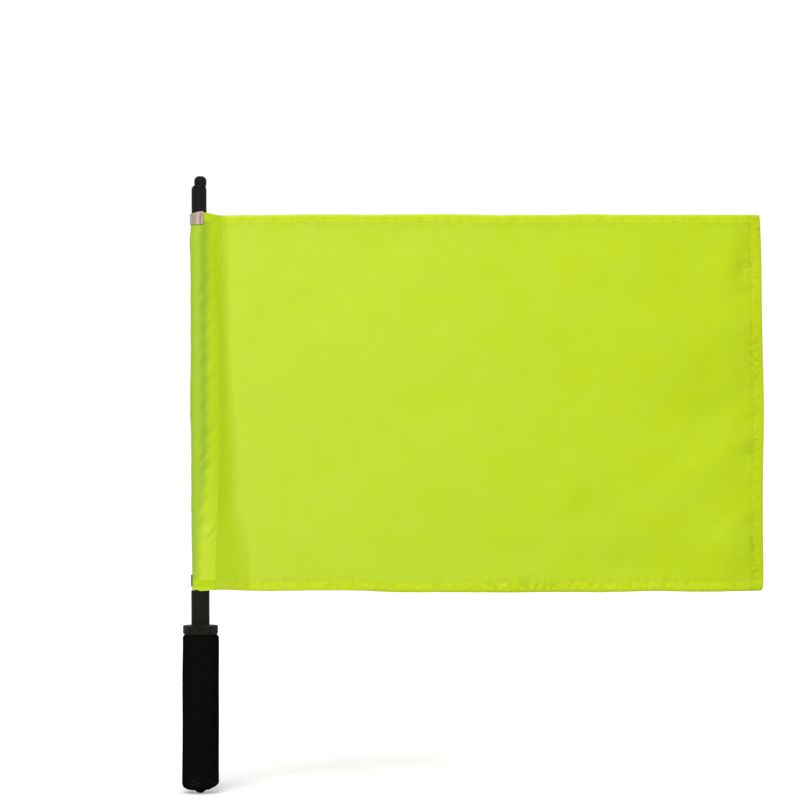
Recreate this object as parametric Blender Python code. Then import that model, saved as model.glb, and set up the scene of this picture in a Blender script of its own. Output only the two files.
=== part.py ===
# Linesman flag: a nylon flag on a plastic pole that turns freely in a foam-covered handle.
#
# All lengths are in metres. +Z runs up the pole, the cloth reaches towards +X and its
# front faces -Y. The origin is the middle of the foam grip, on the pole's axis.

import math

import bmesh
import bpy
import numpy as np
from mathutils import Matrix, Vector

# Clearances
GAP = 0.0003  # between neighbouring rigid pieces
CLOTH_GAP = 0.00025  # between the cloth and what it lies against

# Foam grip
GRIP_LENGTH = 0.1229
GRIP_TOP_DIAMETER = 0.0290
GRIP_END_DIAMETER = 0.0295
GRIP_SHOULDER = 0.0020  # rounding of the upper edge
GRIP_END_ROUNDING = 0.0075  # height of the rounded lower end
GRIP_END_WALL = 0.0044  # foam below the core
NUB_DIAMETER = 0.0086
NUB_HEIGHT = 0.0037
NUB_NECK = 0.0007  # straight part between the foam's end and the nub's dome

# Handle core: core tube, notched collar and socket tube in one moulding
CORE_DIAMETER = 0.0150
CORE_BORE = 0.0110
COLLAR_HEIGHT = 0.0064
COLLAR_FOOT_DIAMETER = 0.0264
COLLAR_BELLY_DIAMETER = 0.0280
COLLAR_BELLY_RISE = 0.0026  # widest this far above the foot
COLLAR_TOP_DIAMETER = 0.0274
COLLAR_EDGE = 0.0007
NOTCH_COUNT = 10
NOTCH_WIDTH = 0.0016
NOTCH_DEPTH = 0.0012
SOCKET_DIAMETER = 0.0146
SOCKET_LENGTH = 0.02725
SOCKET_FILLET = 0.0012
SOCKET_EDGE = 0.0008
RING_DEPTH = 0.0654  # from the socket's mouth down to the bearing ring
RING_THICKNESS = 0.0040
RING_CLEARANCE = 0.00125  # round the spindle's tip

# Plug in the core's lower end
PLUG_FLANGE = 0.0015
PLUG_DEPTH = 0.0080

# Bearings
UPPER_BUSH_LENGTH = 0.0120
LOWER_BUSH_LENGTH = 0.0117
THRUST_WASHER_THICKNESS = 0.0010
RETAINING_WASHER_THICKNESS = 0.0010
RETAINING_WASHER_CLEARANCE = 0.0004
SCREW_DIAMETER = 0.0028
SCREW_LENGTH = 0.0120
SCREW_HEAD_DIAMETER = 0.0056
SCREW_HEAD_HEIGHT = 0.0021
SCREW_HEAD_EDGE = 0.0011  # rounding of the head
RECESS_WIDTH = 0.0008
RECESS_SPAN = 0.0032
RECESS_DEPTH = 0.0012

# Spindle
SPINDLE_DIAMETER = 0.0080
SPINDLE_TIP_DIAMETER = 0.0060
NECK_LENGTH = 0.0036  # bare neck between the socket and the pole
NECK_FILLET = 0.0007
FLANGE_THICKNESS = 0.0009
FLANGE_OVERHANG = 0.0002  # past the pole's side
SPINDLE_PLUG_LENGTH = 0.0250

# Pole and its cap
POLE_DIAMETER = 0.0120
POLE_WALL = 0.0012
POLE_REVEAL = 0.0210  # bare pole above the cloth
CAP_PLUG_LENGTH = 0.0120
CAP_GROOVE_HEIGHT = 0.0013
CAP_KNOB_DIAMETER = 0.0098
CAP_KNOB_HEIGHT = 0.0080
CAP_ROUNDING = 0.0026
CAP_OFFSET = 0.0011  # the knob stands off the pole's axis

# Cloth
CLOTH_THICKNESS = 0.0003
CLOTH_HEIGHT = 0.3005
CLOTH_REACH = 0.4506  # from the pole's axis to the fly edge
CLOTH_LIFT = 0.0011  # from the socket's mouth up to the cloth's lower edge
FLY_DROP = 0.0017  # the fly end hangs this much lower
FLY_CORNER = 0.0026  # the upper fly corner falls short by this much
FLY_CORNER_REACH = 0.1650  # over this height
SLEEVE_SLACK = 0.0005  # looseness of the sleeve between the clips
SEAM_TOP = 0.0100  # from the sleeve's round to the seam, upper end
SEAM_BOTTOM = 0.0048
SEAM_TOP_DEPTH = 0.0040  # how far the seam lies behind the pole's axis
SEAM_BOTTOM_DEPTH = -0.0055
SEAM_BEND = 0.75  # power of the seam's way outwards as it rises
WEDGE_TOP = 0.0029  # width of the slope beside the seam, upper end
WEDGE_BOTTOM = 0.0270
WEDGE_BEND = 1.35  # power of the slope's growth as it falls
WEDGE_PROFILE = ((0, 0), (0.5, 0.53), (0.85, 0.9), (1, 1))  # shares of its width and depth
TOP_LIFT = 0.0019  # the clip draws the upper edge up
TOP_LIFT_PLACE = 0.0038
TOP_LIFT_REACH = 0.0080
BOTTOM_LIFT = 0.0009
BOTTOM_LIFT_PLACE = 0.0170
BOTTOM_LIFT_REACH = 0.0110
TOP_HEM = 0.0064
BOTTOM_HEM = 0.0084
FLY_HEM = 0.0088
HEM_STEP = 0.0006  # the turned-in layers behind the hem
STITCH_INSET = 0.0012  # from the hem's inner edge to its stitches

# Shallow diagonal folds in the lower fly corner
FOLD_HEIGHT = 0.0012
FOLD_PITCH = 0.0700
FOLD_SLANT = math.radians(41)
FOLD_X = 0.3840
FOLD_Z = 0.1970
FOLD_SPREAD = 0.0850
FOLD_FADE = 0.0350  # from the slope's end to where the folds are whole
FLY_CURL = 0.0022  # the fly edge bends back
FLY_CURL_WIDTH = 0.0700

# Spring clips
CLIP_HEIGHT = 0.0106
CLIP_WALL = 0.00045
CLIP_WRAP = math.radians(200)
CLIP_LIP = 0.0012
CLIP_LIP_ANGLE = math.radians(50)
UPPER_CLIP_DROP = 0.0034  # clip's middle below the cloth's upper edge
LOWER_CLIP_RISE = 0.0079  # clip's middle above the cloth's lower edge
UPPER_CLIP_TILT = math.radians(8)
UPPER_CLIP_START = math.radians(-65)
LOWER_CLIP_START = math.radians(190)
PRESSED_ANGLE = math.radians(-21)  # the lower clip holds the cloth this far round
PRESSED_FADE = 0.0400

# Sewing thread
THREAD_WIDTH = 0.0004
THREAD_THICKNESS = 0.00025

# Facets
SHARP_ANGLE = math.radians(35)
ROUND_SEGMENTS = 40
INNER_SEGMENTS = 24
ARC_STEPS = 4
CLIP_STEPS = 18
SLEEVE_ARC_STEPS = 10
PANEL_STEPS = 13
ROW_STEPS = 13
PANEL_CROWDING = 1.4  # power that draws the stations towards the fly
ROW_CROWDING = 1.2  # power that draws the rows towards the lower edge

# Heights that follow from the sizes
GRIP_TOP = GRIP_LENGTH / 2
GRIP_BOTTOM = -GRIP_LENGTH / 2
GRIP_BORE_BOTTOM = GRIP_BOTTOM + GRIP_END_WALL
PLUG_BOTTOM = GRIP_BORE_BOTTOM + GAP
CORE_BOTTOM = PLUG_BOTTOM + PLUG_FLANGE + GAP
COLLAR_BOTTOM = GRIP_TOP + GAP
COLLAR_TOP = COLLAR_BOTTOM + COLLAR_HEIGHT
SOCKET_TOP = COLLAR_TOP + SOCKET_LENGTH
RING_TOP = SOCKET_TOP - RING_DEPTH
RING_BOTTOM = RING_TOP - RING_THICKNESS
LOWER_BUSH_TOP = RING_TOP + GAP + LOWER_BUSH_LENGTH
THRUST_WASHER_BOTTOM = LOWER_BUSH_TOP + GAP
SPINDLE_SHOULDER = THRUST_WASHER_BOTTOM + THRUST_WASHER_THICKNESS + GAP
RETAINING_WASHER_TOP = RING_BOTTOM - GAP
SCREW_HEAD_TOP = RETAINING_WASHER_TOP - RETAINING_WASHER_THICKNESS - GAP
FLANGE_BOTTOM = SOCKET_TOP + NECK_LENGTH
FLANGE_TOP = FLANGE_BOTTOM + FLANGE_THICKNESS
POLE_BOTTOM = FLANGE_TOP + GAP
CLOTH_BOTTOM = SOCKET_TOP + CLOTH_LIFT
CLOTH_TOP = CLOTH_BOTTOM + CLOTH_HEIGHT
POLE_TOP = CLOTH_TOP + POLE_REVEAL

# Radii that follow from the sizes
CORE_RADIUS = CORE_DIAMETER / 2
CORE_BORE_RADIUS = CORE_BORE / 2
SOCKET_RADIUS = SOCKET_DIAMETER / 2
SPINDLE_RADIUS = SPINDLE_DIAMETER / 2
TIP_RADIUS = SPINDLE_TIP_DIAMETER / 2
SCREW_HOLE_RADIUS = SCREW_DIAMETER / 2 + GAP
POLE_RADIUS = POLE_DIAMETER / 2
POLE_BORE_RADIUS = POLE_RADIUS - POLE_WALL
SLEEVE_MIDDLE = POLE_RADIUS + CLOTH_GAP + CLOTH_THICKNESS / 2
PANEL_DEPTH = SLEEVE_MIDDLE


def clear_objects():
    for thing in list(bpy.data.objects):
        bpy.data.objects.remove(thing, do_unlink=True)


def make_material(name, colour, roughness, metallic=0.0):
    material = bpy.data.materials.new(name)
    material.use_nodes = True
    shader = material.node_tree.nodes["Principled BSDF"]
    shader.inputs["Base Color"].default_value = (*colour, 1.0)
    shader.inputs["Roughness"].default_value = roughness
    shader.inputs["Metallic"].default_value = metallic
    return material


def add_object(name, mesh, material, parent, smooth=True):
    if smooth:
        mesh.shade_smooth()
        mesh.set_sharp_from_angle(angle=SHARP_ANGLE)
    mesh.materials.append(material)
    piece = bpy.data.objects.new(name, mesh)
    bpy.context.scene.collection.objects.link(piece)
    piece.parent = parent
    return piece


def arc(centre_r, centre_z, radius_r, radius_z, start, end, steps=ARC_STEPS):
    """Points (r, z) along an elliptical arc between two angles in degrees."""
    angles = np.radians(np.linspace(start, end, steps + 1))
    return [(centre_r + radius_r * math.cos(a), centre_z + radius_z * math.sin(a))
            for a in angles]


def turned(name, profile, material, parent, closed=False, segments=INNER_SEGMENTS):
    """A solid of revolution about Z from (r, z) points; closed for a ring-shaped section."""
    work = bmesh.new()
    points = [work.verts.new((r, 0, z)) for r, z in profile]
    pairs = list(zip(points, points[1:]))
    if closed:
        pairs.append((points[-1], points[0]))
    edges = [work.edges.new(pair) for pair in pairs]
    bmesh.ops.spin(work, geom=points + edges, cent=(0, 0, 0), axis=(0, 0, 1),
                   angle=math.tau, steps=segments, use_merge=True)
    bmesh.ops.remove_doubles(work, verts=work.verts, dist=1e-6)
    bmesh.ops.recalc_face_normals(work, faces=work.faces)
    mesh = bpy.data.meshes.new(name)
    work.to_mesh(mesh)
    work.free()
    return add_object(name, mesh, material, parent)


def cut_boxes(target, name, boxes):
    """Boolean cut by boxes, each given as (matrix, size)."""
    work = bmesh.new()
    for matrix, size in boxes:
        scaled = matrix @ Matrix.Diagonal((*size, 1.0))
        bmesh.ops.create_cube(work, size=1.0, matrix=scaled)
    mesh = bpy.data.meshes.new(name)
    work.to_mesh(mesh)
    work.free()
    cutter = bpy.data.objects.new(name, mesh)
    bpy.context.scene.collection.objects.link(cutter)
    cutter.hide_render = True
    cutter.display_type = "WIRE"
    cut = target.modifiers.new(name, "BOOLEAN")
    cut.operation = "DIFFERENCE"
    cut.solver = "EXACT"
    cut.object = cutter


def build_handle_core(material, parent):
    belly_z = COLLAR_BOTTOM + COLLAR_BELLY_RISE
    foot = COLLAR_FOOT_DIAMETER / 2
    top = COLLAR_TOP_DIAMETER / 2
    ring = TIP_RADIUS + RING_CLEARANCE
    profile = [(CORE_RADIUS, CORE_BOTTOM), (CORE_RADIUS, COLLAR_BOTTOM)]
    profile += arc(foot - COLLAR_EDGE, COLLAR_BOTTOM + COLLAR_EDGE,
                   COLLAR_EDGE, COLLAR_EDGE, -90, 0, 2)
    profile.append((COLLAR_BELLY_DIAMETER / 2, belly_z))
    profile += arc(top - COLLAR_EDGE, COLLAR_TOP - COLLAR_EDGE,
                   COLLAR_EDGE, COLLAR_EDGE, 0, 90, 2)
    profile += arc(SOCKET_RADIUS + SOCKET_FILLET, COLLAR_TOP + SOCKET_FILLET,
                   SOCKET_FILLET, SOCKET_FILLET, 270, 180, 3)
    profile += arc(SOCKET_RADIUS - SOCKET_EDGE, SOCKET_TOP - SOCKET_EDGE,
                   SOCKET_EDGE, SOCKET_EDGE, 0, 90, 3)
    profile += [(CORE_BORE_RADIUS, SOCKET_TOP), (CORE_BORE_RADIUS, RING_TOP),
                (ring, RING_TOP), (ring, RING_BOTTOM),
                (CORE_BORE_RADIUS, RING_BOTTOM), (CORE_BORE_RADIUS, CORE_BOTTOM)]
    core = turned("handle_core", profile, material, parent, True, ROUND_SEGMENTS)

    inner = COLLAR_BELLY_DIAMETER / 2 - NOTCH_DEPTH
    reach = 2 * NOTCH_DEPTH
    boxes = []
    for k in range(NOTCH_COUNT):
        turn = Matrix.Rotation(-math.pi / 2 + k * math.tau / NOTCH_COUNT, 4, "Z")
        middle = Vector((inner + reach / 2, 0, COLLAR_BOTTOM + COLLAR_HEIGHT / 2))
        place = turn @ Matrix.Translation(middle)
        boxes.append((place, (reach, NOTCH_WIDTH, 2 * COLLAR_HEIGHT)))
    cut_boxes(core, "collar_notch_cutter", boxes)


def build_foam_grip(material, parent):
    top = GRIP_TOP_DIAMETER / 2
    end = GRIP_END_DIAMETER / 2
    nub = NUB_DIAMETER / 2
    skirt = nub + NUB_NECK
    bore = CORE_RADIUS + GAP
    profile = arc(0, GRIP_BOTTOM - NUB_NECK, nub, NUB_HEIGHT - NUB_NECK, -90, 0)
    profile += arc(skirt, GRIP_BOTTOM + GRIP_END_ROUNDING, end - skirt,
                   GRIP_END_ROUNDING, -90, 0, 5)
    profile += arc(top - GRIP_SHOULDER, GRIP_TOP - GRIP_SHOULDER,
                   GRIP_SHOULDER, GRIP_SHOULDER, 0, 90, 3)
    profile += [(bore, GRIP_TOP), (bore, GRIP_BORE_BOTTOM), (0, GRIP_BORE_BOTTOM)]
    turned("foam_grip", profile, material, parent, False, ROUND_SEGMENTS)


def build_core_plug(material, parent):
    body = CORE_BORE_RADIUS - GAP
    chamfer = GAP * 2
    flange_top = PLUG_BOTTOM + PLUG_FLANGE
    top = flange_top + PLUG_DEPTH
    profile = [(0, PLUG_BOTTOM), (CORE_RADIUS - chamfer, PLUG_BOTTOM),
               (CORE_RADIUS, PLUG_BOTTOM + chamfer), (CORE_RADIUS, flange_top),
               (body, flange_top), (body, top - chamfer), (body - chamfer, top), (0, top)]
    turned("core_plug", profile, material, parent)


def ring(name, inner, outer, bottom, top, material, parent, chamfer=0.0):
    profile = [(inner, bottom), (outer, bottom)]
    if chamfer:
        profile += [(outer, top - chamfer), (outer - chamfer, top)]
    else:
        profile.append((outer, top))
    profile.append((inner, top))
    turned(name, profile, material, parent, True)


def build_bearings(bush_material, steel, parent):
    outer = CORE_BORE_RADIUS - GAP
    top = SOCKET_TOP - GAP
    ring("upper_bush", SPINDLE_RADIUS + GAP, outer, top - UPPER_BUSH_LENGTH, top,
         bush_material, parent)
    ring("lower_bush", TIP_RADIUS + GAP, outer, RING_TOP + GAP, LOWER_BUSH_TOP,
         bush_material, parent)
    ring("thrust_washer", TIP_RADIUS + GAP, outer, THRUST_WASHER_BOTTOM,
         THRUST_WASHER_BOTTOM + THRUST_WASHER_THICKNESS, steel, parent)


def build_spindle(material, parent):
    chamfer = GAP
    plug = POLE_BORE_RADIUS - GAP
    plug_top = FLANGE_TOP + SPINDLE_PLUG_LENGTH
    flange = POLE_RADIUS + FLANGE_OVERHANG
    hole_top = SCREW_HEAD_TOP + SCREW_LENGTH + GAP
    profile = [(0, hole_top), (SCREW_HOLE_RADIUS, hole_top),
               (SCREW_HOLE_RADIUS, RING_BOTTOM), (TIP_RADIUS - chamfer, RING_BOTTOM),
               (TIP_RADIUS, RING_BOTTOM + chamfer), (TIP_RADIUS, SPINDLE_SHOULDER),
               (SPINDLE_RADIUS, SPINDLE_SHOULDER)]
    profile += arc(SPINDLE_RADIUS + NECK_FILLET, FLANGE_BOTTOM - NECK_FILLET,
                   NECK_FILLET, NECK_FILLET, 180, 90, 3)
    profile += [(flange, FLANGE_BOTTOM), (flange, FLANGE_TOP), (plug, FLANGE_TOP),
                (plug, plug_top - chamfer), (plug - chamfer, plug_top), (0, plug_top)]
    turned("spindle", profile, material, parent)


def build_retainer(steel, parent):
    washer_bottom = RETAINING_WASHER_TOP - RETAINING_WASHER_THICKNESS
    ring("retaining_washer", SCREW_HOLE_RADIUS,
         CORE_BORE_RADIUS - RETAINING_WASHER_CLEARANCE,
         washer_bottom, RETAINING_WASHER_TOP, steel, parent)
    head = SCREW_HEAD_DIAMETER / 2
    head_bottom = SCREW_HEAD_TOP - SCREW_HEAD_HEIGHT
    shank = SCREW_DIAMETER / 2
    tip = SCREW_HEAD_TOP + SCREW_LENGTH
    profile = arc(head - SCREW_HEAD_EDGE, head_bottom + SCREW_HEAD_EDGE,
                  SCREW_HEAD_EDGE, SCREW_HEAD_EDGE, -90, 0, 3)
    profile = [(0, head_bottom)] + profile
    profile += [(head, SCREW_HEAD_TOP), (shank, SCREW_HEAD_TOP),
                (shank, tip - shank), (0, tip)]
    screw = turned("retaining_screw", profile, steel, parent)
    middle = Vector((0, 0, head_bottom + RECESS_DEPTH / 2 - GAP))
    depth = RECESS_DEPTH + 2 * GAP
    boxes = [(Matrix.Translation(middle), (RECESS_SPAN, RECESS_WIDTH, depth)),
             (Matrix.Translation(middle), (RECESS_WIDTH, RECESS_SPAN, depth))]
    for index, box in enumerate(boxes):
        cut_boxes(screw, "recess_cutter_%d" % index, [box])


def build_pole(material, parent):
    edge = GAP
    profile = [(POLE_BORE_RADIUS, POLE_BOTTOM), (POLE_RADIUS - edge, POLE_BOTTOM),
               (POLE_RADIUS, POLE_BOTTOM + edge), (POLE_RADIUS, POLE_TOP - edge),
               (POLE_RADIUS - edge, POLE_TOP), (POLE_BORE_RADIUS, POLE_TOP)]
    turned("pole_tube", profile, material, parent, True, ROUND_SEGMENTS)


def build_cap(material, parent):
    plug = POLE_BORE_RADIUS - GAP
    knob = CAP_KNOB_DIAMETER / 2
    seat = POLE_TOP + GAP
    groove_top = seat + CAP_GROOVE_HEIGHT
    top = groove_top + CAP_KNOB_HEIGHT
    profile = [(0, POLE_TOP - CAP_PLUG_LENGTH), (plug, POLE_TOP - CAP_PLUG_LENGTH),
               (plug, seat), (plug, seat + GAP), (plug, groove_top),
               (knob, groove_top + (knob - plug))]
    profile += arc(knob - CAP_ROUNDING, top - CAP_ROUNDING, CAP_ROUNDING, CAP_ROUNDING,
                   0, 90)
    profile.append((0, top))
    cap = turned("pole_cap", profile, material, parent, False, ROUND_SEGMENTS)
    for vertex in cap.data.vertices:
        if vertex.co.z > seat + GAP / 2:
            vertex.co.x += CAP_OFFSET


def ramp(value, low, high):
    """Smooth step: 0 below low, 1 above high."""
    t = np.clip((value - low) / (high - low), 0, 1)
    return t * t * (3 - 2 * t)


def lower_edge(x):
    """Height of the cloth's lower edge: a slow fall to the fly and a hump by the pole."""
    hump = np.exp(-((x - BOTTOM_LIFT_PLACE) / BOTTOM_LIFT_REACH) ** 2)
    return CLOTH_BOTTOM - FLY_DROP * np.maximum(x, 0) / CLOTH_REACH + BOTTOM_LIFT * hump


def upper_edge(x):
    """Height of the cloth's upper edge: a slow fall to the fly, drawn up at the clip."""
    past = x - TOP_LIFT_PLACE
    lift = TOP_LIFT * np.exp(-(np.maximum(past, 0) / TOP_LIFT_REACH) ** 2)
    tilt = math.tan(UPPER_CLIP_TILT) * np.minimum(past, 0)
    return CLOTH_TOP - FLY_DROP * np.maximum(x, 0) / CLOTH_REACH + lift + tilt


def fold_depth(x, z):
    """Distance behind the flat panel: a sine across slanting lines, fading out round its
    middle, plus a parabola that bends the fly edge back."""
    across = (z - FOLD_Z) * math.cos(FOLD_SLANT) - (x - FOLD_X) * math.sin(FOLD_SLANT)
    distance = (x - FOLD_X) ** 2 + (z - FOLD_Z) ** 2
    folds = FOLD_HEIGHT * np.sin(math.tau * across / FOLD_PITCH)
    folds = folds * np.exp(-distance / (2 * FOLD_SPREAD ** 2))
    past = np.maximum(x - (CLOTH_REACH - FLY_CURL_WIDTH), 0) / FLY_CURL_WIDTH
    return folds + FLY_CURL * past ** 2


def row_shares():
    """Heights of the rows as shares of the cloth: hem, stitch line and panel rows."""
    inner_bottom = BOTTOM_HEM / CLOTH_HEIGHT
    inner_top = 1 - TOP_HEM / CLOTH_HEIGHT
    inset = STITCH_INSET / CLOTH_HEIGHT
    spread = np.linspace(0, 1, ROW_STEPS + 1) ** ROW_CROWDING
    middle = inner_bottom + (inner_top - inner_bottom) * spread
    return np.concatenate([[0, inner_bottom - inset], middle, [inner_top + inset, 1]])


def seam_place(share):
    """Seam's (x, y) at a height given as a share of the cloth's height."""
    x = SLEEVE_MIDDLE + SEAM_BOTTOM + (SEAM_TOP - SEAM_BOTTOM) * share ** SEAM_BEND
    y = SEAM_BOTTOM_DEPTH + (SEAM_TOP_DEPTH - SEAM_BOTTOM_DEPTH) * share
    return np.array([x, y])


def panel_row(share):
    """Middle line of the panel at one height, as (x, y) from the seam to the fly edge."""
    seam = seam_place(share)
    width = WEDGE_TOP + (WEDGE_BOTTOM - WEDGE_TOP) * (1 - share) ** WEDGE_BEND
    across, deep = np.array(WEDGE_PROFILE, float).T
    wedge_x = seam[0] + width * across
    wedge_y = seam[1] + (PANEL_DEPTH - seam[1]) * deep
    above = max(1 - (1 - share) * CLOTH_HEIGHT / FLY_CORNER_REACH, 0)
    fly = CLOTH_REACH - FLY_CORNER * above ** 2
    hem = fly - FLY_HEM
    spread = 1 - (1 - np.linspace(0, 1, PANEL_STEPS)[1:]) ** PANEL_CROWDING
    panel_x = wedge_x[-1] + (hem - wedge_x[-1]) * spread
    x = np.concatenate([wedge_x, panel_x, [hem + STITCH_INSET, fly]])
    y = np.concatenate([wedge_y, np.full(len(panel_x) + 2, PANEL_DEPTH)])
    z = CLOTH_BOTTOM + share * CLOTH_HEIGHT
    folds = fold_depth(x, z) * ramp(x, wedge_x[-1], wedge_x[-1] + FOLD_FADE)
    return np.stack([x, y + folds], 1)


def tangent_angles(seam, radius):
    """Angles at which lines from the seam touch a circle round the pole's axis."""
    distance = math.hypot(*seam)
    middle = math.atan2(seam[1], seam[0])
    half = math.acos(radius / distance)
    return middle - half, middle + half


def sleeve_row(share):
    """Middle line of the sleeve at one height: seam, front run, round the pole, back run."""
    seam = seam_place(share)
    height = share * CLOTH_HEIGHT
    lower_clip_top = LOWER_CLIP_RISE + CLIP_HEIGHT / 2
    upper_clip_bottom = CLOTH_HEIGHT - UPPER_CLIP_DROP - CLIP_HEIGHT / 2
    loose = ramp(height, lower_clip_top, lower_clip_top + PRESSED_FADE)
    loose = loose * (1 - ramp(height, upper_clip_bottom - PRESSED_FADE, upper_clip_bottom))
    pressed = 1 - ramp(height, lower_clip_top, lower_clip_top + PRESSED_FADE)
    radius = SLEEVE_MIDDLE + SLEEVE_SLACK * loose
    front, back = tangent_angles(seam, radius)
    back = back + (PRESSED_ANGLE - back) * pressed
    sweep = math.tau - (back - front)
    radius = radius / math.cos(sweep / SLEEVE_ARC_STEPS / 2)
    angles = front - sweep * np.linspace(0, 1, SLEEVE_ARC_STEPS + 1)
    circle = radius * np.stack([np.cos(angles), np.sin(angles)], 1)
    front_middle = (seam + circle[0]) / 2
    back_middle = (seam + circle[-1]) / 2
    return np.vstack([seam, front_middle, circle, back_middle, seam])


def mitred_normals(line):
    """Normals of a flat path, to its left, lengthened at its corners as a mitre is."""
    steps = np.diff(line, axis=0)
    steps = steps / np.linalg.norm(steps, axis=1)[:, None]
    left = np.stack([-steps[:, 1], steps[:, 0]], 1)
    before = np.vstack([left[:1], left])
    after = np.vstack([left, left[-1:]])
    total = before + after
    return 2 * total / np.sum(total * total, axis=1)[:, None]


def cloth_grids():
    """The cloth's four surfaces as grids [row, station, xyz], and their normals."""
    shares = row_shares()
    half = CLOTH_THICKNESS / 2
    front_rows, back_rows, outer_rows, inner_rows = [], [], [], []
    for index, share in enumerate(shares):
        panel = panel_row(share)
        normal = -mitred_normals(panel)
        layers = np.zeros(len(panel))
        layers[-2:] = HEM_STEP
        if index < 2 or index >= len(shares) - 2:
            layers[2:] = HEM_STEP
        front = panel + half * normal
        back = panel - (half + layers)[:, None] * normal

        loop = sleeve_row(share)
        side = mitred_normals(loop)
        outer = loop + half * side
        inner = loop - half * side
        outer[0], outer[-1] = front[0], back[0]
        run_in = loop[1] - loop[0]
        run_out = loop[-2] - loop[-1]
        run_in = run_in / np.linalg.norm(run_in)
        run_out = run_out / np.linalg.norm(run_out)
        bisector = run_in + run_out
        half_angle = math.acos(np.clip(run_in @ run_out, -1, 1)) / 2
        tip = loop[0] + bisector / np.linalg.norm(bisector) * 2 * half / math.sin(half_angle)
        inner[0] = inner[-1] = tip

        rows = []
        for line in (front, back, outer, inner):
            x = line[:, 0]
            z = lower_edge(x) + share * (upper_edge(x) - lower_edge(x))
            rows.append(np.column_stack([line, z]))
        front_rows.append(rows[0])
        back_rows.append(rows[1])
        outer_rows.append(rows[2])
        inner_rows.append(rows[3])
    return [np.array(rows) for rows in (front_rows, back_rows, outer_rows, inner_rows)]


def build_cloth(material, parent, grids):
    front, back, outer, inner = grids
    rows, stations = front.shape[:2]
    turns = outer.shape[1]
    vertices = []
    faces = []

    def number(points):
        start = len(vertices)
        vertices.extend(points.reshape(-1, 3).tolist())
        return start + np.arange(rows * points.shape[1]).reshape(rows, -1)

    front_ids = number(front)
    back_ids = number(back)
    outer_ids = number(outer[:, 1:-1])
    inner_ids = number(inner[:, :-1])
    outer_ids = np.hstack([front_ids[:, :1], outer_ids, back_ids[:, :1]])
    inner_ids = np.hstack([inner_ids, inner_ids[:, :1]])

    # both skins are split along the same diagonals, so that they stay parallel in the folds
    def skin(ids, flip):
        for r in range(rows - 1):
            for s in range(ids.shape[1] - 1):
                low = [ids[r, s], ids[r, s + 1], ids[r + 1, s + 1]]
                high = [ids[r, s], ids[r + 1, s + 1], ids[r + 1, s]]
                faces.extend([low[::-1], high[::-1]] if flip else [low, high])

    skin(front_ids, False)
    skin(back_ids, True)
    skin(outer_ids, True)
    skin(inner_ids, False)
    for r in range(rows - 1):
        faces.append([front_ids[r, -1], back_ids[r, -1], back_ids[r + 1, -1],
                      front_ids[r + 1, -1]])
    for r, upper in ((0, False), (rows - 1, True)):
        caps = [[front_ids[r, s], back_ids[r, s], back_ids[r, s + 1], front_ids[r, s + 1]]
                for s in range(stations - 1)]
        caps += [[outer_ids[r, s], outer_ids[r, s + 1], inner_ids[r, s + 1],
                  inner_ids[r, s]] for s in range(turns - 1)]
        caps.append([front_ids[r, 0], inner_ids[r, 0], back_ids[r, 0]])
        faces.extend(cap[::-1] if upper else cap for cap in caps)

    mesh = bpy.data.meshes.new("flag_cloth")
    mesh.from_pydata(vertices, [], [[int(i) for i in face] for face in faces])
    work = bmesh.new()
    work.from_mesh(mesh)
    bmesh.ops.recalc_face_normals(work, faces=work.faces)
    work.to_mesh(mesh)
    work.free()
    add_object("flag_cloth", mesh, material, parent)


def thread_strip(work, line, outward):
    """A flat strip along a line of points, held off the cloth along the given normals."""
    along = np.gradient(line, axis=0)
    along = along / np.linalg.norm(along, axis=1)[:, None]
    outward = outward / np.linalg.norm(outward, axis=1)[:, None]
    across = np.cross(along, outward)
    across = across / np.linalg.norm(across, axis=1)[:, None]
    low = line + outward * CLOTH_GAP
    high = low + outward * THREAD_THICKNESS
    side = across * THREAD_WIDTH / 2
    loops = np.stack([low - side, low + side, high + side, high - side], 1)
    rings = [[work.verts.new(point) for point in loop] for loop in loops]
    for first, second in zip(rings, rings[1:]):
        for k in range(4):
            n = (k + 1) % 4
            work.faces.new((first[k], first[n], second[n], second[k]))
    work.faces.new(rings[0][::-1])
    work.faces.new(rings[-1])


def build_thread(name, line, outward, material, parent):
    work = bmesh.new()
    thread_strip(work, line, outward)
    bmesh.ops.recalc_face_normals(work, faces=work.faces)
    mesh = bpy.data.meshes.new(name)
    work.to_mesh(mesh)
    work.free()
    add_object(name, mesh, material, parent, smooth=False)


def surface_normals(grid):
    """Unit normals of a grid of points [row, station, xyz]."""
    normal = np.cross(np.gradient(grid, axis=1), np.gradient(grid, axis=0))
    return normal / np.linalg.norm(normal, axis=2)[:, :, None]


def seam_normals(panel, sleeve):
    """Directions that halve the outer angle between the panel and the sleeve."""
    run = sleeve[:, 1] - sleeve[:, 0]
    slope = panel[:, 1] - panel[:, 0]
    run = run / np.linalg.norm(run, axis=1)[:, None]
    slope = slope / np.linalg.norm(slope, axis=1)[:, None]
    along = slope - run
    return np.column_stack([along[:, 1], -along[:, 0], np.zeros(len(along))])


def build_threads(material, parent, grids):
    """A needle thread in front and a bobbin thread behind, for each line of stitches."""
    front, back, outer, _ = grids
    rows, stations = front.shape[:2]
    sides = {"needle": (front, surface_normals(front), outer, 1),
             "bobbin": (back, -surface_normals(back), outer[:, ::-1], -1)}
    inner_rows = slice(1, -1)
    panel = slice(2, stations - 2)
    for side, (grid, outward, sleeve, sign) in sides.items():
        lines = {"top_hem": (grid[rows - 2, panel], outward[rows - 2, panel]),
                 "bottom_hem": (grid[1, panel], outward[1, panel]),
                 "fly_hem": (grid[inner_rows, -2], outward[inner_rows, -2]),
                 "sleeve_seam": (grid[inner_rows, 0],
                                 sign * seam_normals(grid, sleeve)[inner_rows])}
        for seam, (line, normal) in lines.items():
            build_thread(seam + "_" + side + "_thread", line, normal, material, parent)


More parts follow.
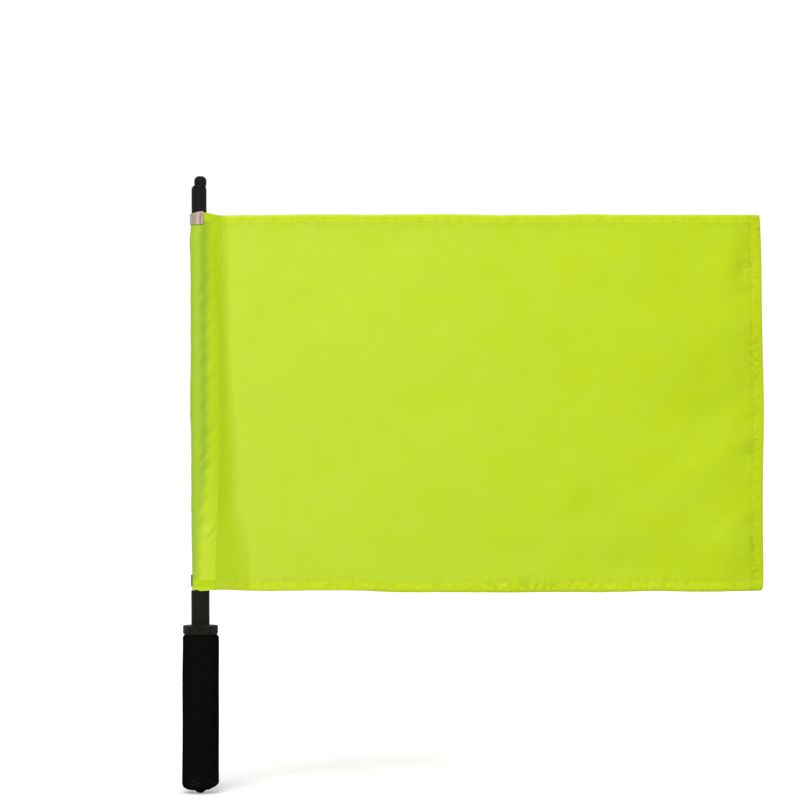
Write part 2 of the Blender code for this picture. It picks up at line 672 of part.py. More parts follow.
def build_clip(name, start, tilt, middle_z, inner, material, parent):
    """A C-shaped band with flared lips: an arc, then a straight lip at each end."""
    radius = inner + CLIP_WALL / 2
    angles = start - CLIP_WRAP * np.linspace(0, 1, CLIP_STEPS + 1)
    points = [Vector((radius * math.cos(a), radius * math.sin(a))) for a in angles]
    for end, turn in ((0, 1), (-1, -1)):
        angle = angles[end]
        tangent = Vector((-math.sin(angle), math.cos(angle))) * turn
        radial = Vector((math.cos(angle), math.sin(angle)))
        lip = tangent * math.cos(CLIP_LIP_ANGLE) + radial * math.sin(CLIP_LIP_ANGLE)
        tip = points[end] + lip * CLIP_LIP
        if end == 0:
            points.insert(0, tip)
        else:
            points.append(tip)
    work = bmesh.new()
    low, high = [], []
    for point in points:
        slant = math.tan(tilt) * point.x
        low.append(work.verts.new((point.x, point.y, middle_z - CLIP_HEIGHT / 2 + slant)))
        high.append(work.verts.new((point.x, point.y, middle_z + CLIP_HEIGHT / 2 + slant)))
    for k in range(len(points) - 1):
        work.faces.new((low[k], low[k + 1], high[k + 1], high[k]))
    mesh = bpy.data.meshes.new(name)
    work.to_mesh(mesh)
    work.free()
    clip = add_object(name, mesh, material, parent)
    wall = clip.modifiers.new("wall", "SOLIDIFY")
    wall.thickness = CLIP_WALL
    wall.offset = 0.0
    wall.use_even_offset = True


def build_clips(material, parent, grids):
    outer = grids[2]
    round_part = outer[:, 2:-2, :2]
    height = outer[:, 2:-2, 2]
    spots = {"upper_clip": (UPPER_CLIP_START, UPPER_CLIP_TILT, CLOTH_TOP - UPPER_CLIP_DROP),
             "lower_clip": (LOWER_CLIP_START, 0.0, CLOTH_BOTTOM + LOWER_CLIP_RISE)}
    for name, (start, tilt, middle_z) in spots.items():
        near = np.abs(height - middle_z) < CLIP_HEIGHT
        widest = np.linalg.norm(round_part[near], axis=1).max()
        facet = math.cos(CLIP_WRAP / CLIP_STEPS / 2)
        build_clip(name, start, tilt, middle_z, (widest + CLOTH_GAP) / facet,
                   material, parent)


def build_flag():
    clear_objects()
    plastic = make_material("black_plastic", (0.017, 0.016, 0.015), 0.45)
    pole_plastic = make_material("pole_plastic", (0.012, 0.012, 0.013), 0.38)
    foam = make_material("black_foam", (0.006, 0.006, 0.005), 0.9)
    nylon = make_material("bearing_nylon", (0.55, 0.53, 0.48), 0.5)
    steel = make_material("steel", (0.55, 0.55, 0.55), 0.35, 1.0)
    nickel = make_material("nickel_spring_steel", (0.68, 0.55, 0.46), 0.3, 1.0)
    cloth = make_material("yellow_nylon_cloth", (0.58, 0.78, 0.03), 0.75)
    thread = make_material("yellow_thread", (0.5, 0.68, 0.03), 0.8)

    handle = bpy.data.objects.new("handle", None)
    swivel = bpy.data.objects.new("pole_swivel", None)
    for empty in (handle, swivel):
        bpy.context.scene.collection.objects.link(empty)
    swivel.parent = handle

    build_handle_core(plastic, handle)
    build_foam_grip(foam, handle)
    build_core_plug(plastic, handle)
    build_bearings(nylon, steel, handle)
    build_spindle(plastic, swivel)
    build_retainer(steel, swivel)
    build_pole(pole_plastic, swivel)
    build_cap(pole_plastic, swivel)
    grids = cloth_grids()
    build_cloth(cloth, swivel, grids)
    build_threads(thread, swivel, grids)
    build_clips(nickel, swivel, grids)


build_flag()
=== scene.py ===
import math
from functools import partial

import bmesh
import bpy
import numpy as np
from mathutils import Matrix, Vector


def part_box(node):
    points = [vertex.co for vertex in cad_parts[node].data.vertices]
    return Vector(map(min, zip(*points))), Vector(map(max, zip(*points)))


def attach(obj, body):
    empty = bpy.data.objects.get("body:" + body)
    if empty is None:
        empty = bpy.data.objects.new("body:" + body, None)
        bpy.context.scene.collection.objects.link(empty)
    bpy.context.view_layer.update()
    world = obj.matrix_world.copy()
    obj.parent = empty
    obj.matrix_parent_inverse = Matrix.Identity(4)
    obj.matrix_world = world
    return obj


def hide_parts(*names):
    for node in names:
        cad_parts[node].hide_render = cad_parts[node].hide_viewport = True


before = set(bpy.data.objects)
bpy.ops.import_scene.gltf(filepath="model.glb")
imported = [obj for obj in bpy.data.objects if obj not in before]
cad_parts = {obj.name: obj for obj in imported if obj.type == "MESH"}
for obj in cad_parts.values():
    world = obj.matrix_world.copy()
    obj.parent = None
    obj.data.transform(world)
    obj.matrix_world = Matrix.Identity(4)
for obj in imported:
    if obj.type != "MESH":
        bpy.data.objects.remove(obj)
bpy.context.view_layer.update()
mm = 0.001
pieceGap = 0.3  # millimetres between neighbouring rigid pieces, as in the CAD
print("frame loaded:", len(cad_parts), "nodes")


# lowest and highest corner of a CAD node, in millimetres
def boxMm(node):
    low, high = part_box(node)
    return np.array(low) / mm, np.array(high) / mm


# smooth step: 0 below low, 1 above high, level at both ends
def smooth(value, low, high):
    t = np.clip((value - low) / (high - low), 0, 1)
    return t * t * (3 - 2 * t)


# bell: 1 at the centre, falling as a Gaussian of this width
def bell(value, centre, width):
    return np.exp(-((value - centre) / width) ** 2)


# a table's steps or bells added up: each row holds a height and then the shape's two places
def summed(shape, value, table):
    return sum(height * shape(value, *places) for height, *places in table)


# irregular wave, mostly from -1 to 1: five sines with wavelengths near the given one, seeded
def wander(value, wavelength, seed):
    random = np.random.default_rng(seed)
    total = 0
    for factor in (0.58, 0.83, 1.0, 1.37, 1.9):
        total = total + np.sin(math.tau * value / (wavelength * factor) + random.uniform(0, math.tau))
    return total / 3.2


# vectors brought to length 1
def unit(vectors):
    return vectors / np.linalg.norm(vectors, axis=-1, keepdims=True)


# way along each row of points, from 0 at its start
def wayAlong(points):
    step = np.linalg.norm(np.diff(points, axis=-2), axis=-1)
    return np.concatenate([0 * step[..., :1], np.cumsum(step, axis=-1)], -1)


# quads between the neighbours of a grid of point numbers
def gridFaces(index):
    corners = (index[:-1, :-1], index[:-1, 1:], index[1:, 1:], index[1:, :-1])
    return np.stack(corners, -1).reshape(-1, 4)


# points and faces of a grid whose rows close on themselves; in a ring the last row joins the first
def closedRows(points, ring=False):
    index = np.arange(points.shape[0] * points.shape[1]).reshape(points.shape[:2])
    if ring:
        index = np.vstack([index, index[:1]])
    return points.reshape(-1, 3), [gridFaces(np.hstack([index, index[:, :1]]))]


# a tube's rows with one more at each end, drawn together in the middle of the end row
def capped(rows):
    first, last = (np.repeat(end.mean(1, keepdims=True), rows.shape[1], 1) for end in (rows[:1], rows[-1:]))
    return np.concatenate([first, rows, last])


# an object for this data, put into the scene
def addObject(name, data):
    made = bpy.data.objects.new(name, data)
    bpy.context.scene.collection.objects.link(made)
    return made


# a mesh object at the origin that rides on a body and stands for a CAD node, with its faces
# outwards, sharp edges by angle, and what its material reads: uv and marks, one value a point
def makePiece(name, points, faces, finish, body, node, sharp=40, uv=None, marks=None):
    mesh = bpy.data.meshes.new(name)
    mesh.from_pydata((points * mm).tolist(), [], [list(face) for group in faces for face in group.tolist()])
    if uv is not None:
        corners = np.empty(len(mesh.loops), int)
        mesh.loops.foreach_get("vertex_index", corners)
        mesh.uv_layers.new(name="cloth").data.foreach_set("uv", (uv * mm)[corners].ravel())
    for label, values in (marks or {}).items():
        mesh.attributes.new(label, "FLOAT", "POINT").data.foreach_set("value", values)
    work = bmesh.new()
    work.from_mesh(mesh)
    bmesh.ops.remove_doubles(work, verts=work.verts, dist=1e-7)
    bmesh.ops.recalc_face_normals(work, faces=work.faces)
    work.to_mesh(mesh)
    work.free()
    mesh.shade_smooth()
    mesh.set_sharp_from_angle(angle=math.radians(sharp))
    material, slotName = finish
    mesh.materials.append(material)
    piece = addObject(name, mesh)
    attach(piece, body)
    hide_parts(node)
    return piece


# outline through corners (r, z, rounding): an arc that touches both sides of each corner, with
# a holding point before and after it, so that long flats keep their own shading
def roundedLine(corners, steps=6, hold=0.25, closed=False):
    line = []
    count = len(corners)
    for k, (r, z, rounding) in enumerate(corners):
        here = np.array([r, z], float)
        if rounding == 0 or (not closed and k in (0, count - 1)):
            line.append(here)
            continue
        before = np.array(corners[k - 1][:2], float) - here
        after = np.array(corners[(k + 1) % count][:2], float) - here
        toBefore, toAfter = unit(before), unit(after)
        half = math.acos(np.clip(toBefore @ toAfter, -1, 1)) / 2
        tangent = rounding / math.tan(half)
        middle = here + unit(toBefore + toAfter) * rounding / math.sin(half)
        first = here + toBefore * tangent - middle
        last = here + toAfter * tangent - middle
        sweep = math.pi - 2 * half
        t = np.linspace(0, 1, steps + 1)[:, None]
        arc = middle + (first * np.sin((1 - t) * sweep) + last * np.sin(t * sweep)) / math.sin(sweep)
        if tangent + hold < np.linalg.norm(before) / 2:
            line.append(here + toBefore * (tangent + hold))
        line.extend(arc)
        if tangent + hold < np.linalg.norm(after) / 2:
            line.append(here + toAfter * (tangent + hold))
    return np.array(line)


# points along a polyline no further apart than the given step
def refined(line, step):
    parts = [line[:1]]
    for start, end in zip(line, line[1:]):
        count = max(1, math.ceil(np.linalg.norm(end - start) / step))
        parts.append(start + (end - start) * np.linspace(0, 1, count + 1)[1:, None])
    return np.vstack(parts)


# surface of revolution: (r cos a, r sin a, z) for each profile point and angle; shape may move the
# grid of points; a ring's profile joins its own start, any other starts and ends on the axis
def turned(profile, angles, ring=False, shape=None):
    r, z = profile[:, :1], profile[:, 1:]
    points = np.stack([r * np.cos(angles), r * np.sin(angles), z + 0 * angles], -1)
    return closedRows(shape(points) if shape else points, ring)


# angles all the way round, evenly spaced
def evenAngles(count):
    return np.linspace(0, math.tau, count, endpoint=False)


# sRGB hex to linear light, with the standard curve
def hexColour(code):
    values = np.array([int(code[k:k + 2], 16) for k in (1, 3, 5)]) / 255
    linear = np.where(values <= 0.04045, values / 12.92, ((values + 0.055) / 1.055) ** 2.4)
    return (*linear.tolist(), 1.0)


# adds one node with its settings; an input given as a socket, or as a node for its first live
# output, is linked, and any other is set, with a hex colour made linear; a Mix of colours takes
# its share at input 0 and the two colours at 6 and 7
def addNode(material, kind, inputs=None, **settings):
    tree = material.node_tree
    node = tree.nodes.new("ShaderNode" + kind)
    for name, value in settings.items():
        setattr(node, name, value)
    for name, value in (inputs or {}).items():
        if isinstance(value, bpy.types.Node):
            value = next(socket for socket in value.outputs if socket.enabled)
        if isinstance(value, bpy.types.NodeSocket):
            tree.links.new(value, node.inputs[name])
        else:
            node.inputs[name].default_value = hexColour(value) if isinstance(value, str) else value
    return node


# empties the nodes of a new material or world, and gives it with the function that adds one to it
def startNodes(material):
    material.use_nodes = True
    material.node_tree.nodes.clear()
    return material, partial(addNode, material)


def newMaterial(name):
    return startNodes(bpy.data.materials.new(name))


# Camera at the photograph's distance and turn: 150 mm lens, level, a fifth of a degree of roll

view = {"lens": 150, "sensor": 36, "place": (0.160, -2.663, 0.2482), "roll": 0.00349, "seesTo": 100}
cameraData = bpy.data.cameras.new("photoCamera")
cameraData.lens = view["lens"]
cameraData.sensor_width = view["sensor"]
cameraData.clip_end = view["seesTo"]
camera = addObject("photoCamera", cameraData)
camera.matrix_world = Matrix(((1, view["roll"], 0, view["place"][0]),
                              (0, 0, -1, view["place"][1]),
                              (-view["roll"], 1, 0, view["place"][2]),
                              (0, 0, 0, 1)))
bpy.context.scene.camera = camera
bpy.context.scene.view_settings.view_transform = "Standard"
print("camera placed")

# Light: a wide soft box in front and above, a weaker one at the side, and an even surround

lights = {"key": {"place": (-0.28, -1.65, 1.85), "size": 1.2, "watts": 45},
          "side": {"place": (1.9, -1.2, 0.9), "size": 1.4, "watts": 3},
          "aim": (0.2, 0, 0.2), "surround": 0.42, "background": 1.0,
          "floorHalf": 20, "floorGlow": 0.3, "farGlow": 0.74, "glowFrom": 0.05, "glowTo": 0.4}


def addSoftbox(name, place, size, watts):
    data = bpy.data.lights.new(name, "AREA")
    data.shape = "SQUARE"
    data.size = size
    data.energy = watts
    aim = unit(np.array(lights["aim"]) - place)
    right = unit(np.cross(aim, (0, 0, 1)))
    up = np.cross(right, aim)
    rows = [[right[k], up[k], -aim[k], place[k]] for k in range(3)]
    addObject(name, data).matrix_world = Matrix(rows + [[0, 0, 0, 1]])


for name in ("key", "side"):
    addSoftbox(name, **lights[name])


# 1 for a camera, glossy or transmission ray, else 0
def seenRay(add):
    ray = add("LightPath").outputs
    first = add("Math", {0: ray["Is Camera Ray"], 1: ray["Is Glossy Ray"]}, operation="MAXIMUM")
    return add("Math", {0: first, 1: ray["Is Transmission Ray"]}, operation="MAXIMUM")


world, add = startNodes(bpy.data.worlds.new("softSurround"))
bpy.context.scene.world = world
strength = add("MapRange", {"Value": seenRay(add), "To Min": lights["surround"],
                            "To Max": lights["background"]})
glow = add("Background", {"Color": (1, 1, 1, 1), "Strength": strength})
add("OutputWorld", {"Surface": glow})

# white floor whose lit part reads as the background, so that only the soft shadow shows
floorPaint, add = newMaterial("paperSweep")
paper = add("BsdfDiffuse", {"Color": "#e6e6e6"})
away = add("VectorMath", {0: add("TexCoord").outputs["Object"]}, operation="LENGTH")
level = add("MapRange", {"Value": away, "From Min": lights["glowFrom"], "From Max": lights["glowTo"],
                         "To Min": lights["floorGlow"], "To Max": lights["farGlow"]})
lit = add("Math", {0: seenRay(add), 1: level}, operation="MULTIPLY")
shine = add("Emission", {"Color": (1, 1, 1, 1), "Strength": lit})
add("OutputMaterial", {"Surface": add("AddShader", {0: paper, 1: shine})})
floorHeight = boxMm("foam_grip")[0][2] * mm
far = lights["floorHalf"]
floorMesh = bpy.data.meshes.new("floor")
corners = ((-far, -far), (far, -far), (far, far), (-far, far))
floorMesh.from_pydata([(x, y, floorHeight) for x, y in corners], [], [(0, 1, 2, 3)])
floorMesh.materials.append(floorPaint)
floor = addObject("floor", floorMesh)
print("light and floor made")


# Materials

# coordinates in which a pattern's unit measures these millimetres along x, y and z
def stretched(add, unitMm, source="Object"):
    scale = tuple(1 / (side * mm) for side in unitMm)
    return add("Mapping", {"Vector": add("TexCoord").outputs[source], "Scale": scale})


# injection-moulded plastic: near-black with a dull shine, faint sink marks about 9 mm across, a spark
# texture of 0.45 mm, and scuffs along the pole that are worn lighter
def makeMouldedPlastic(name, look):
    material, add = newMaterial(name)
    near = stretched(add, (1, 1, 1))
    cloudy = add("TexNoise", {"Vector": near, "Scale": 1 / 9, "Detail": 3})
    grain = add("TexNoise", {"Vector": near, "Scale": 1 / 0.45, "Detail": 2})
    scuffs = add("TexNoise", {"Vector": stretched(add, (0.8, 0.8, 3.3)), "Scale": 1, "Detail": 4})
    wearAndHighlight = add("MapRange", {"Value": scuffs, "From Min": 0.58, "From Max": 0.75, "To Max": look["wear"]})
    mixed = add("Mix", {0: cloudy, 6: look["dark"], 7: look["light"]}, data_type="RGBA")
    coloured = add("Mix", {0: wearAndHighlight, 6: mixed, 7: look["scuff"]}, data_type="RGBA")
    rough = add("MapRange", {"Value": cloudy, "To Min": look["rough"] - 0.06, "To Max": look["rough"] + 0.08})
    relief = add("Bump", {"Height": grain, "Strength": 0.25, "Distance": 0.02 * mm})
    shader = add("BsdfPrincipled", {"Base Color": coloured, "Roughness": rough, "IOR": 1.49,
                                    "Specular IOR Level": look["shine"], "Normal": relief})
    add("OutputMaterial", {"Surface": shader})
    return material


# drawn ABS tube: satin black, with faint lengthwise draw lines a millimetre or two apart
def makeDrawnPlastic(look):
    material, add = newMaterial("drawnAbsTube")
    lines = add("TexNoise", {"Vector": stretched(add, (1.2, 1.2, 90)), "Scale": 1, "Detail": 3})
    cloudy = add("TexNoise", {"Vector": stretched(add, (3.3, 3.3, 7)), "Scale": 1, "Detail": 2})
    tone = add("Math", {0: lines, 1: cloudy}, operation="MULTIPLY")
    wide = add("MapRange", {"Value": tone, "From Min": 0.12, "From Max": 0.42})
    mixed = add("Mix", {0: wide, 6: look["dark"], 7: look["light"]}, data_type="RGBA")
    rough = add("MapRange", {"Value": lines, "To Min": look["rough"] - 0.07, "To Max": look["rough"] + 0.07})
    relief = add("Bump", {"Height": lines, "Strength": 0.2, "Distance": 0.03 * mm})
    shader = add("BsdfPrincipled", {"Base Color": mixed, "Roughness": rough, "IOR": 1.53,
                                    "Specular IOR Level": look["shine"], "Normal": relief})
    add("OutputMaterial", {"Surface": shader})
    return material


# closed-cell EVA foam with its moulded skin: dead matte black, pores of 0.5 mm drawn at 0.9 mm, soft
# dents of 4 mm, and a painted highlight: strokes painted lighter where the closed end is wrinkled
def makeFoam(look):
    material, add = newMaterial("evaFoam")
    near = stretched(add, (1, 1, 1))
    pores = add("TexVoronoi", {"Vector": near, "Scale": 1 / 0.9, "Randomness": 1})
    dents = add("TexNoise", {"Vector": near, "Scale": 1 / 4, "Detail": 4})
    pits = add("MapRange", {"Value": pores, "From Min": 0.1, "From Max": 0.6})
    mixed = add("Mix", {0: pits, 6: look["pore"], 7: look["skin"]}, data_type="RGBA")
    patchy = add("Mix", {0: dents, 6: mixed, 7: look["light"]}, data_type="RGBA")
    strokes = add("Attribute", attribute_name="strokes").outputs["Fac"]
    # painted highlight: the wrinkle strokes take a lighter colour in place of their gloss
    coloured = add("Mix", {0: strokes, 6: patchy, 7: look["wearAndHighlight"]}, data_type="RGBA")
    fine = add("Bump", {"Height": pits, "Strength": 0.5, "Distance": 0.08 * mm})
    relief = add("Bump", {"Height": dents, "Strength": 0.4, "Distance": 0.3 * mm, "Normal": fine})
    shader = add("BsdfPrincipled", {"Base Color": coloured, "Roughness": 0.92, "IOR": 1.45,
                                    "Specular IOR Level": look["shine"], "Normal": relief})
    add("OutputMaterial", {"Surface": shader})
    return material


# plated steel: brushed in streaks that streakMm measures along x, y and z, and duller and warmer in
# patches of about 5 mm where it has tarnished
def makeMetal(name, look):
    material, add = newMaterial(name)
    streaks = add("TexNoise", {"Vector": stretched(add, look["streakMm"]), "Scale": 1, "Detail": 3})
    tarnish = add("TexNoise", {"Vector": stretched(add, (5, 5, 5)), "Scale": 1, "Detail": 3})
    spread = add("MapRange", {"Value": streaks, "From Min": 0.34, "From Max": 0.66})
    mixed = add("Mix", {0: spread, 6: look["dark"], 7: look["light"]}, data_type="RGBA")
    tarnishAndShade = add("MapRange", {"Value": tarnish, "From Min": 0.45, "From Max": 0.7, "To Max": 0.6})
    coloured = add("Mix", {0: tarnishAndShade, 6: mixed, 7: look["tarnish"]}, data_type="RGBA")
    rough = add("MapRange", {"Value": streaks, "To Min": look["rough"] - 0.08, "To Max": look["rough"] + 0.1})
    relief = add("Bump", {"Height": streaks, "Strength": 0.15, "Distance": 0.02 * mm})
    shader = add("BsdfPrincipled", {"Base Color": coloured, "Roughness": rough, "Metallic": 1.0,
                                    "Normal": relief})
    add("OutputMaterial", {"Surface": shader})
    return material


# turned nylon bush: waxy off-white with fine turning rings
def makeNylonBush(look):
    material, add = newMaterial("turnedNylon")
    rings = add("TexNoise", {"Vector": stretched(add, (7, 7, 0.12)), "Scale": 1, "Detail": 2})
    mixed = add("Mix", {0: rings, 6: look["dark"], 7: look["light"]}, data_type="RGBA")
    relief = add("Bump", {"Height": rings, "Strength": 0.3, "Distance": 0.02 * mm})
    shader = add("BsdfPrincipled", {"Base Color": mixed, "Roughness": 0.45, "IOR": 1.53, "Normal": relief})
    add("OutputMaterial", {"Surface": shader})
    return material


# fluorescent nylon taffeta: thin, bright yellow-green, lets light through where it is one layer
# thick, looks deeper in the hems, where three layers lie on each other, and carries painted light:
# greener shade where the black pole lies behind it, darker shade in creases, folds and edges that
# turn from the light, and a falloff towards the fly edge; its threads are 0.15 mm wide, drawn as slubs 0.2 mm
# by 3 mm
def makeTaffeta(name, look):
    material, add = newMaterial(name)
    hem, greenerShade, tarnishAndShade = (add("Attribute", attribute_name=label).outputs["Fac"]
                             for label in ("hem", "greenerShade", "tarnishAndShade"))
    warp = add("TexNoise", {"Vector": stretched(add, (0.2, 3, 1), "UV"), "Scale": 1, "Detail": 2})
    weft = add("TexNoise", {"Vector": stretched(add, (3, 0.2, 1), "UV"), "Scale": 1, "Detail": 2})
    slubs = add("Math", {0: warp, 1: weft}, operation="ADD")
    tone = add("MapRange", {"Value": slubs, "From Min": 0.6, "From Max": 1.4})
    weave = add("Bump", {"Height": slubs, "Strength": 0.22, "Distance": 0.06 * mm})
    single = add("Mix", {0: tone, 6: look["panelDark"], 7: look["panelLight"]}, data_type="RGBA")
    folded = add("Mix", {0: tone, 6: look["hemDark"], 7: look["hemLight"]}, data_type="RGBA")

    # painted falloff of light: the panel grows warmer, with less of the key light's sheen, towards the fly
    # edge, along a border that wanders
    broad = add("TexNoise", {"Vector": stretched(add, (26, 26, 1), "UV"), "Scale": 1, "Detail": 2})
    metres = add("SeparateXYZ", {0: stretched(add, (1000, 1000, 1000), "UV")})
    faded = add("Math", {0: broad, 1: 0.5, 2: metres}, operation="MULTIPLY_ADD")
    falloff = add("MapRange", {"Value": faded, "From Min": 0.22, "From Max": 0.72})
    varied = add("Mix", {0: falloff, 6: single, 7: look["panelFalloff"]}, data_type="RGBA")
    layered = add("Mix", {0: hem, 6: varied, 7: folded}, data_type="RGBA")
    # painted shade of the black pole behind the cloth, in a greener colour
    greenerShaded = add("Mix", {0: greenerShade, 6: layered, 7: look["greenerShade"]}, data_type="RGBA")

    # gathers beside the stitches: ripples 3 to 6 mm apart, with painted shade where they lie low
    heights, creases = [], []
    for label, unitMm in (("gatherAlong", (4.4, 6.0, 1)), ("gatherUp", (6.0, 3.0, 1))):
        strong = add("Attribute", attribute_name=label).outputs["Fac"]
        ripple = add("TexNoise", {"Vector": stretched(add, unitMm, "UV"), "Scale": 1, "Detail": 1})
        lower = add("Math", {0: ripple, 1: 0.55}, operation="SUBTRACT")
        pit = add("MapRange", {"Value": ripple, "From Min": 0.54, "From Max": 0.38})
        heights.append(add("Math", {0: lower, 1: strong}, operation="MULTIPLY"))
        creases.append(add("Math", {0: pit, 1: strong}, operation="MULTIPLY"))
    height = add("Math", {0: heights[0], 1: heights[1]}, operation="ADD")
    crease = add("Math", {0: creases[0], 1: creases[1]}, operation="MAXIMUM")
    # painted shade in the low creases
    creaseShade = add("Math", {0: crease, 1: look["crease"]}, operation="MULTIPLY")
    deepened = add("Math", {0: creaseShade, 1: tarnishAndShade}, operation="ADD", use_clamp=True)
    # painted shade: the marked places and the creases take the shade colour
    colour = add("Mix", {0: deepened, 6: greenerShaded, 7: look["deep"]}, data_type="RGBA")
    relief = add("Bump", {"Height": height, "Strength": 1.0, "Distance": look["gatherMm"] * mm,
                          "Normal": weave})

    front = add("BsdfPrincipled", {"Base Color": colour, "Roughness": 0.55, "IOR": 1.53,
                                   "Specular IOR Level": look["shine"], "Sheen Weight": look["sheen"],
                                   "Sheen Roughness": 0.5, "Normal": relief})
    glow = add("Mix", {0: 0.6, 6: colour, 7: look["glow"]}, data_type="RGBA")
    through = add("BsdfTranslucent", {"Color": glow, "Normal": relief})
    passed = add("MapRange", {"Value": hem, "To Min": look["passes"], "To Max": look["hemPasses"]})
    add("OutputMaterial", {"Surface": add("MixShader", {0: passed, 1: front, 2: through})})
    return material


# spun polyester sewing thread: the cloth's colour, a little deeper, with a fuzz of 0.12 mm
def makeThread(look):
    material, add = newMaterial("polyesterThread")
    fuzz = add("TexNoise", {"Vector": stretched(add, (0.12, 0.12, 0.12)), "Scale": 1, "Detail": 2})
    mixed = add("Mix", {0: fuzz, 6: look["dark"], 7: look["light"]}, data_type="RGBA")
    relief = add("Bump", {"Height": fuzz, "Strength": 0.5, "Distance": 0.05 * mm})
    shader = add("BsdfPrincipled", {"Base Color": mixed, "Roughness": 0.75, "Sheen Weight": 0.2,
                                    "Normal": relief})
    add("OutputMaterial", {"Surface": shader})
    return material


handlePlastic = (makeMouldedPlastic("mouldedPolypropylene", {
    "dark": "#181714", "light": "#242320", "scuff": "#34322e", "wear": 0.4, "rough": 0.5,
    "shine": 0.03}), "handle_plastic")
capPlastic = (makeMouldedPlastic("mouldedAbsCap", {
    "dark": "#121212", "light": "#1e1e1f", "scuff": "#323235", "wear": 0.4, "rough": 0.42,
    "shine": 0.03}), "pole_plastic")
polePlastic = (makeDrawnPlastic({"dark": "#151513", "light": "#22211f", "rough": 0.45,
                                 "shine": 0.03}), "pole_plastic")
# the foam's lighter stroke colour is a painted highlight
foamFinish = (makeFoam({"pore": "#080606", "skin": "#0e0c0b", "light": "#12100e", "wearAndHighlight": "#282522",
                         "shine": 0.0}), "foam")
nickelFinish = (makeMetal("nickelSpringSteel", {
    "dark": "#96887a", "light": "#c4afa5", "tarnish": "#837650", "rough": 0.32,
    "streakMm": (1.1, 1.1, 12)}), "nickel")
steelFinish = (makeMetal("zincPlatedSteel", {
    "dark": "#9fa2a6", "light": "#bcbfc2", "tarnish": "#8d8a80", "rough": 0.36,
    "streakMm": (0.3, 0.3, 0.08)}), "steel")
bushFinish = (makeNylonBush({"dark": "#dcd8cb", "light": "#ebe8dd"}), "bush_nylon")
# the warm panel colour is a painted falloff of light, the pole's colour a painted greener shade, and the deep
# colour painted shade
clothFinish = (makeTaffeta("fluorescentTaffeta", {
    "panelDark": "#cfe03d", "panelLight": "#d9e847", "panelFalloff": "#d0e016", "hemDark": "#c8dd02",
    "hemLight": "#d2e608", "greenerShade": "#a2cd00", "glow": "#a9dc1a", "shine": 0.2, "sheen": 0.06,
    "passes": 0.34, "hemPasses": 0.14, "deep": "#a4b800", "crease": 0.6, "gatherMm": 1.35}), "cloth")
# the sleeve's copy of the taffeta is darker and greener: painted shade of the pole and the back layer behind
# it
shadedSleeveFinish = (makeTaffeta("fluorescentTaffetaShadedSleeve", {
    "panelDark": "#c2dc30", "panelLight": "#cce238", "panelFalloff": "#c8de28", "hemDark": "#b2cf00",
    "hemLight": "#bdd808", "greenerShade": "#93b92c", "glow": "#a9dc1a", "shine": 0.16, "sheen": 0.05,
    "passes": 0.1, "hemPasses": 0.1, "deep": "#98ac00", "crease": 0.35, "gatherMm": 0.7}), "cloth")
threadFinish = (makeThread({"dark": "#c4d818", "light": "#d4e62c"}), "thread")
print("materials made")

# Handle core: collar with ten notches, socket tube and the core tube inside the foam

core = {"collarFoot": 13.5, "collarBelly": 14.0, "bellyRise": 1.8, "collarTop": 13.9, "edge": 0.35,
        "collarHeight": 7.0, "coreRadius": 7.5, "bore": 5.5, "ringTop": 30.0, "ringBottom": 26.0,
        "ringRadius": 4.25, "socket": 7.3, "socketFillet": 1.0, "socketEdge": 0.5, "rimRise": 1.2,
        "notches": 10, "notchHalf": 0.8, "notchFloor": 12.8, "notchSide": 0.12}


# the collar, socket and core: one ring profile, turned, with the collar's notches cut inwards
def makeHandleCore():
    low, high = boxMm("handle_core")
    foot = boxMm("foam_grip")[1][2] + pieceGap
    top = foot + core["collarHeight"]
    rim = high[2] + core["rimRise"]
    profile = roundedLine([
        (core["coreRadius"], low[2], 0.3), (core["coreRadius"], foot, 0.2),
        (core["collarFoot"], foot, core["edge"]), (core["collarBelly"], foot + core["bellyRise"], 1.2),
        (core["collarTop"], top, core["edge"]), (core["socket"], top, core["socketFillet"]),
        (core["socket"], rim, core["socketEdge"]), (core["bore"], rim, 0.4),
        (core["bore"], core["ringTop"], 0), (core["ringRadius"], core["ringTop"], 0.2),
        (core["ringRadius"], core["ringBottom"], 0.2), (core["bore"], core["ringBottom"], 0),
        (core["bore"], low[2], 0.3)], closed=True)
    profile = refined(profile, 6)

    # angles crowd at both sides of each notch
    half = math.asin(core["notchHalf"] / core["collarBelly"])
    side = core["notchSide"] / core["collarBelly"]
    spots = [0, 0.4 * half, 0.65 * half, half - 1.5 * side, half - side, half - 0.5 * side, half,
             half + 0.5 * side, half + side, half + 1.6 * side, 1.4 * half]
    wide = np.linspace(1.4 * half, math.pi / core["notches"], 7)[1:]
    oneSide = np.concatenate([spots, wide])
    oneNotch = np.concatenate([-oneSide[:0:-1][1:], oneSide])
    turns = -math.pi / 2 + np.arange(core["notches"]) * math.tau / core["notches"]
    angles = (turns[:, None] + oneNotch).ravel()

    # a point past the notch's floor is drawn in to it, by a window that is 1 inside the notch
    def cutNotches(points):
        x, y, z = np.moveaxis(points, -1, 0)
        radius = np.hypot(x, y)
        angle = np.arctan2(y, x) + math.pi / 2
        away = np.abs((angle * core["notches"] / math.tau + 0.5) % 1 - 0.5) * math.tau / core["notches"]
        inside = 1 - smooth(away * core["collarBelly"], core["notchHalf"] - core["notchSide"],
                            core["notchHalf"] + core["notchSide"])
        past = np.maximum(radius - core["notchFloor"], 0)
        factor = (radius - past * inside * 0.97) / radius
        return np.stack([x * factor, y * factor, z], -1)

    points, faces = turned(profile, angles, ring=True, shape=cutNotches)
    return makePiece("collarAndSocket", points, faces, handlePlastic, "handle", "handle_core", sharp=50)


makeHandleCore()
print("handle core made")

# Foam grip: a tube with a rounded upper edge and a closed end that is gathered round a nub

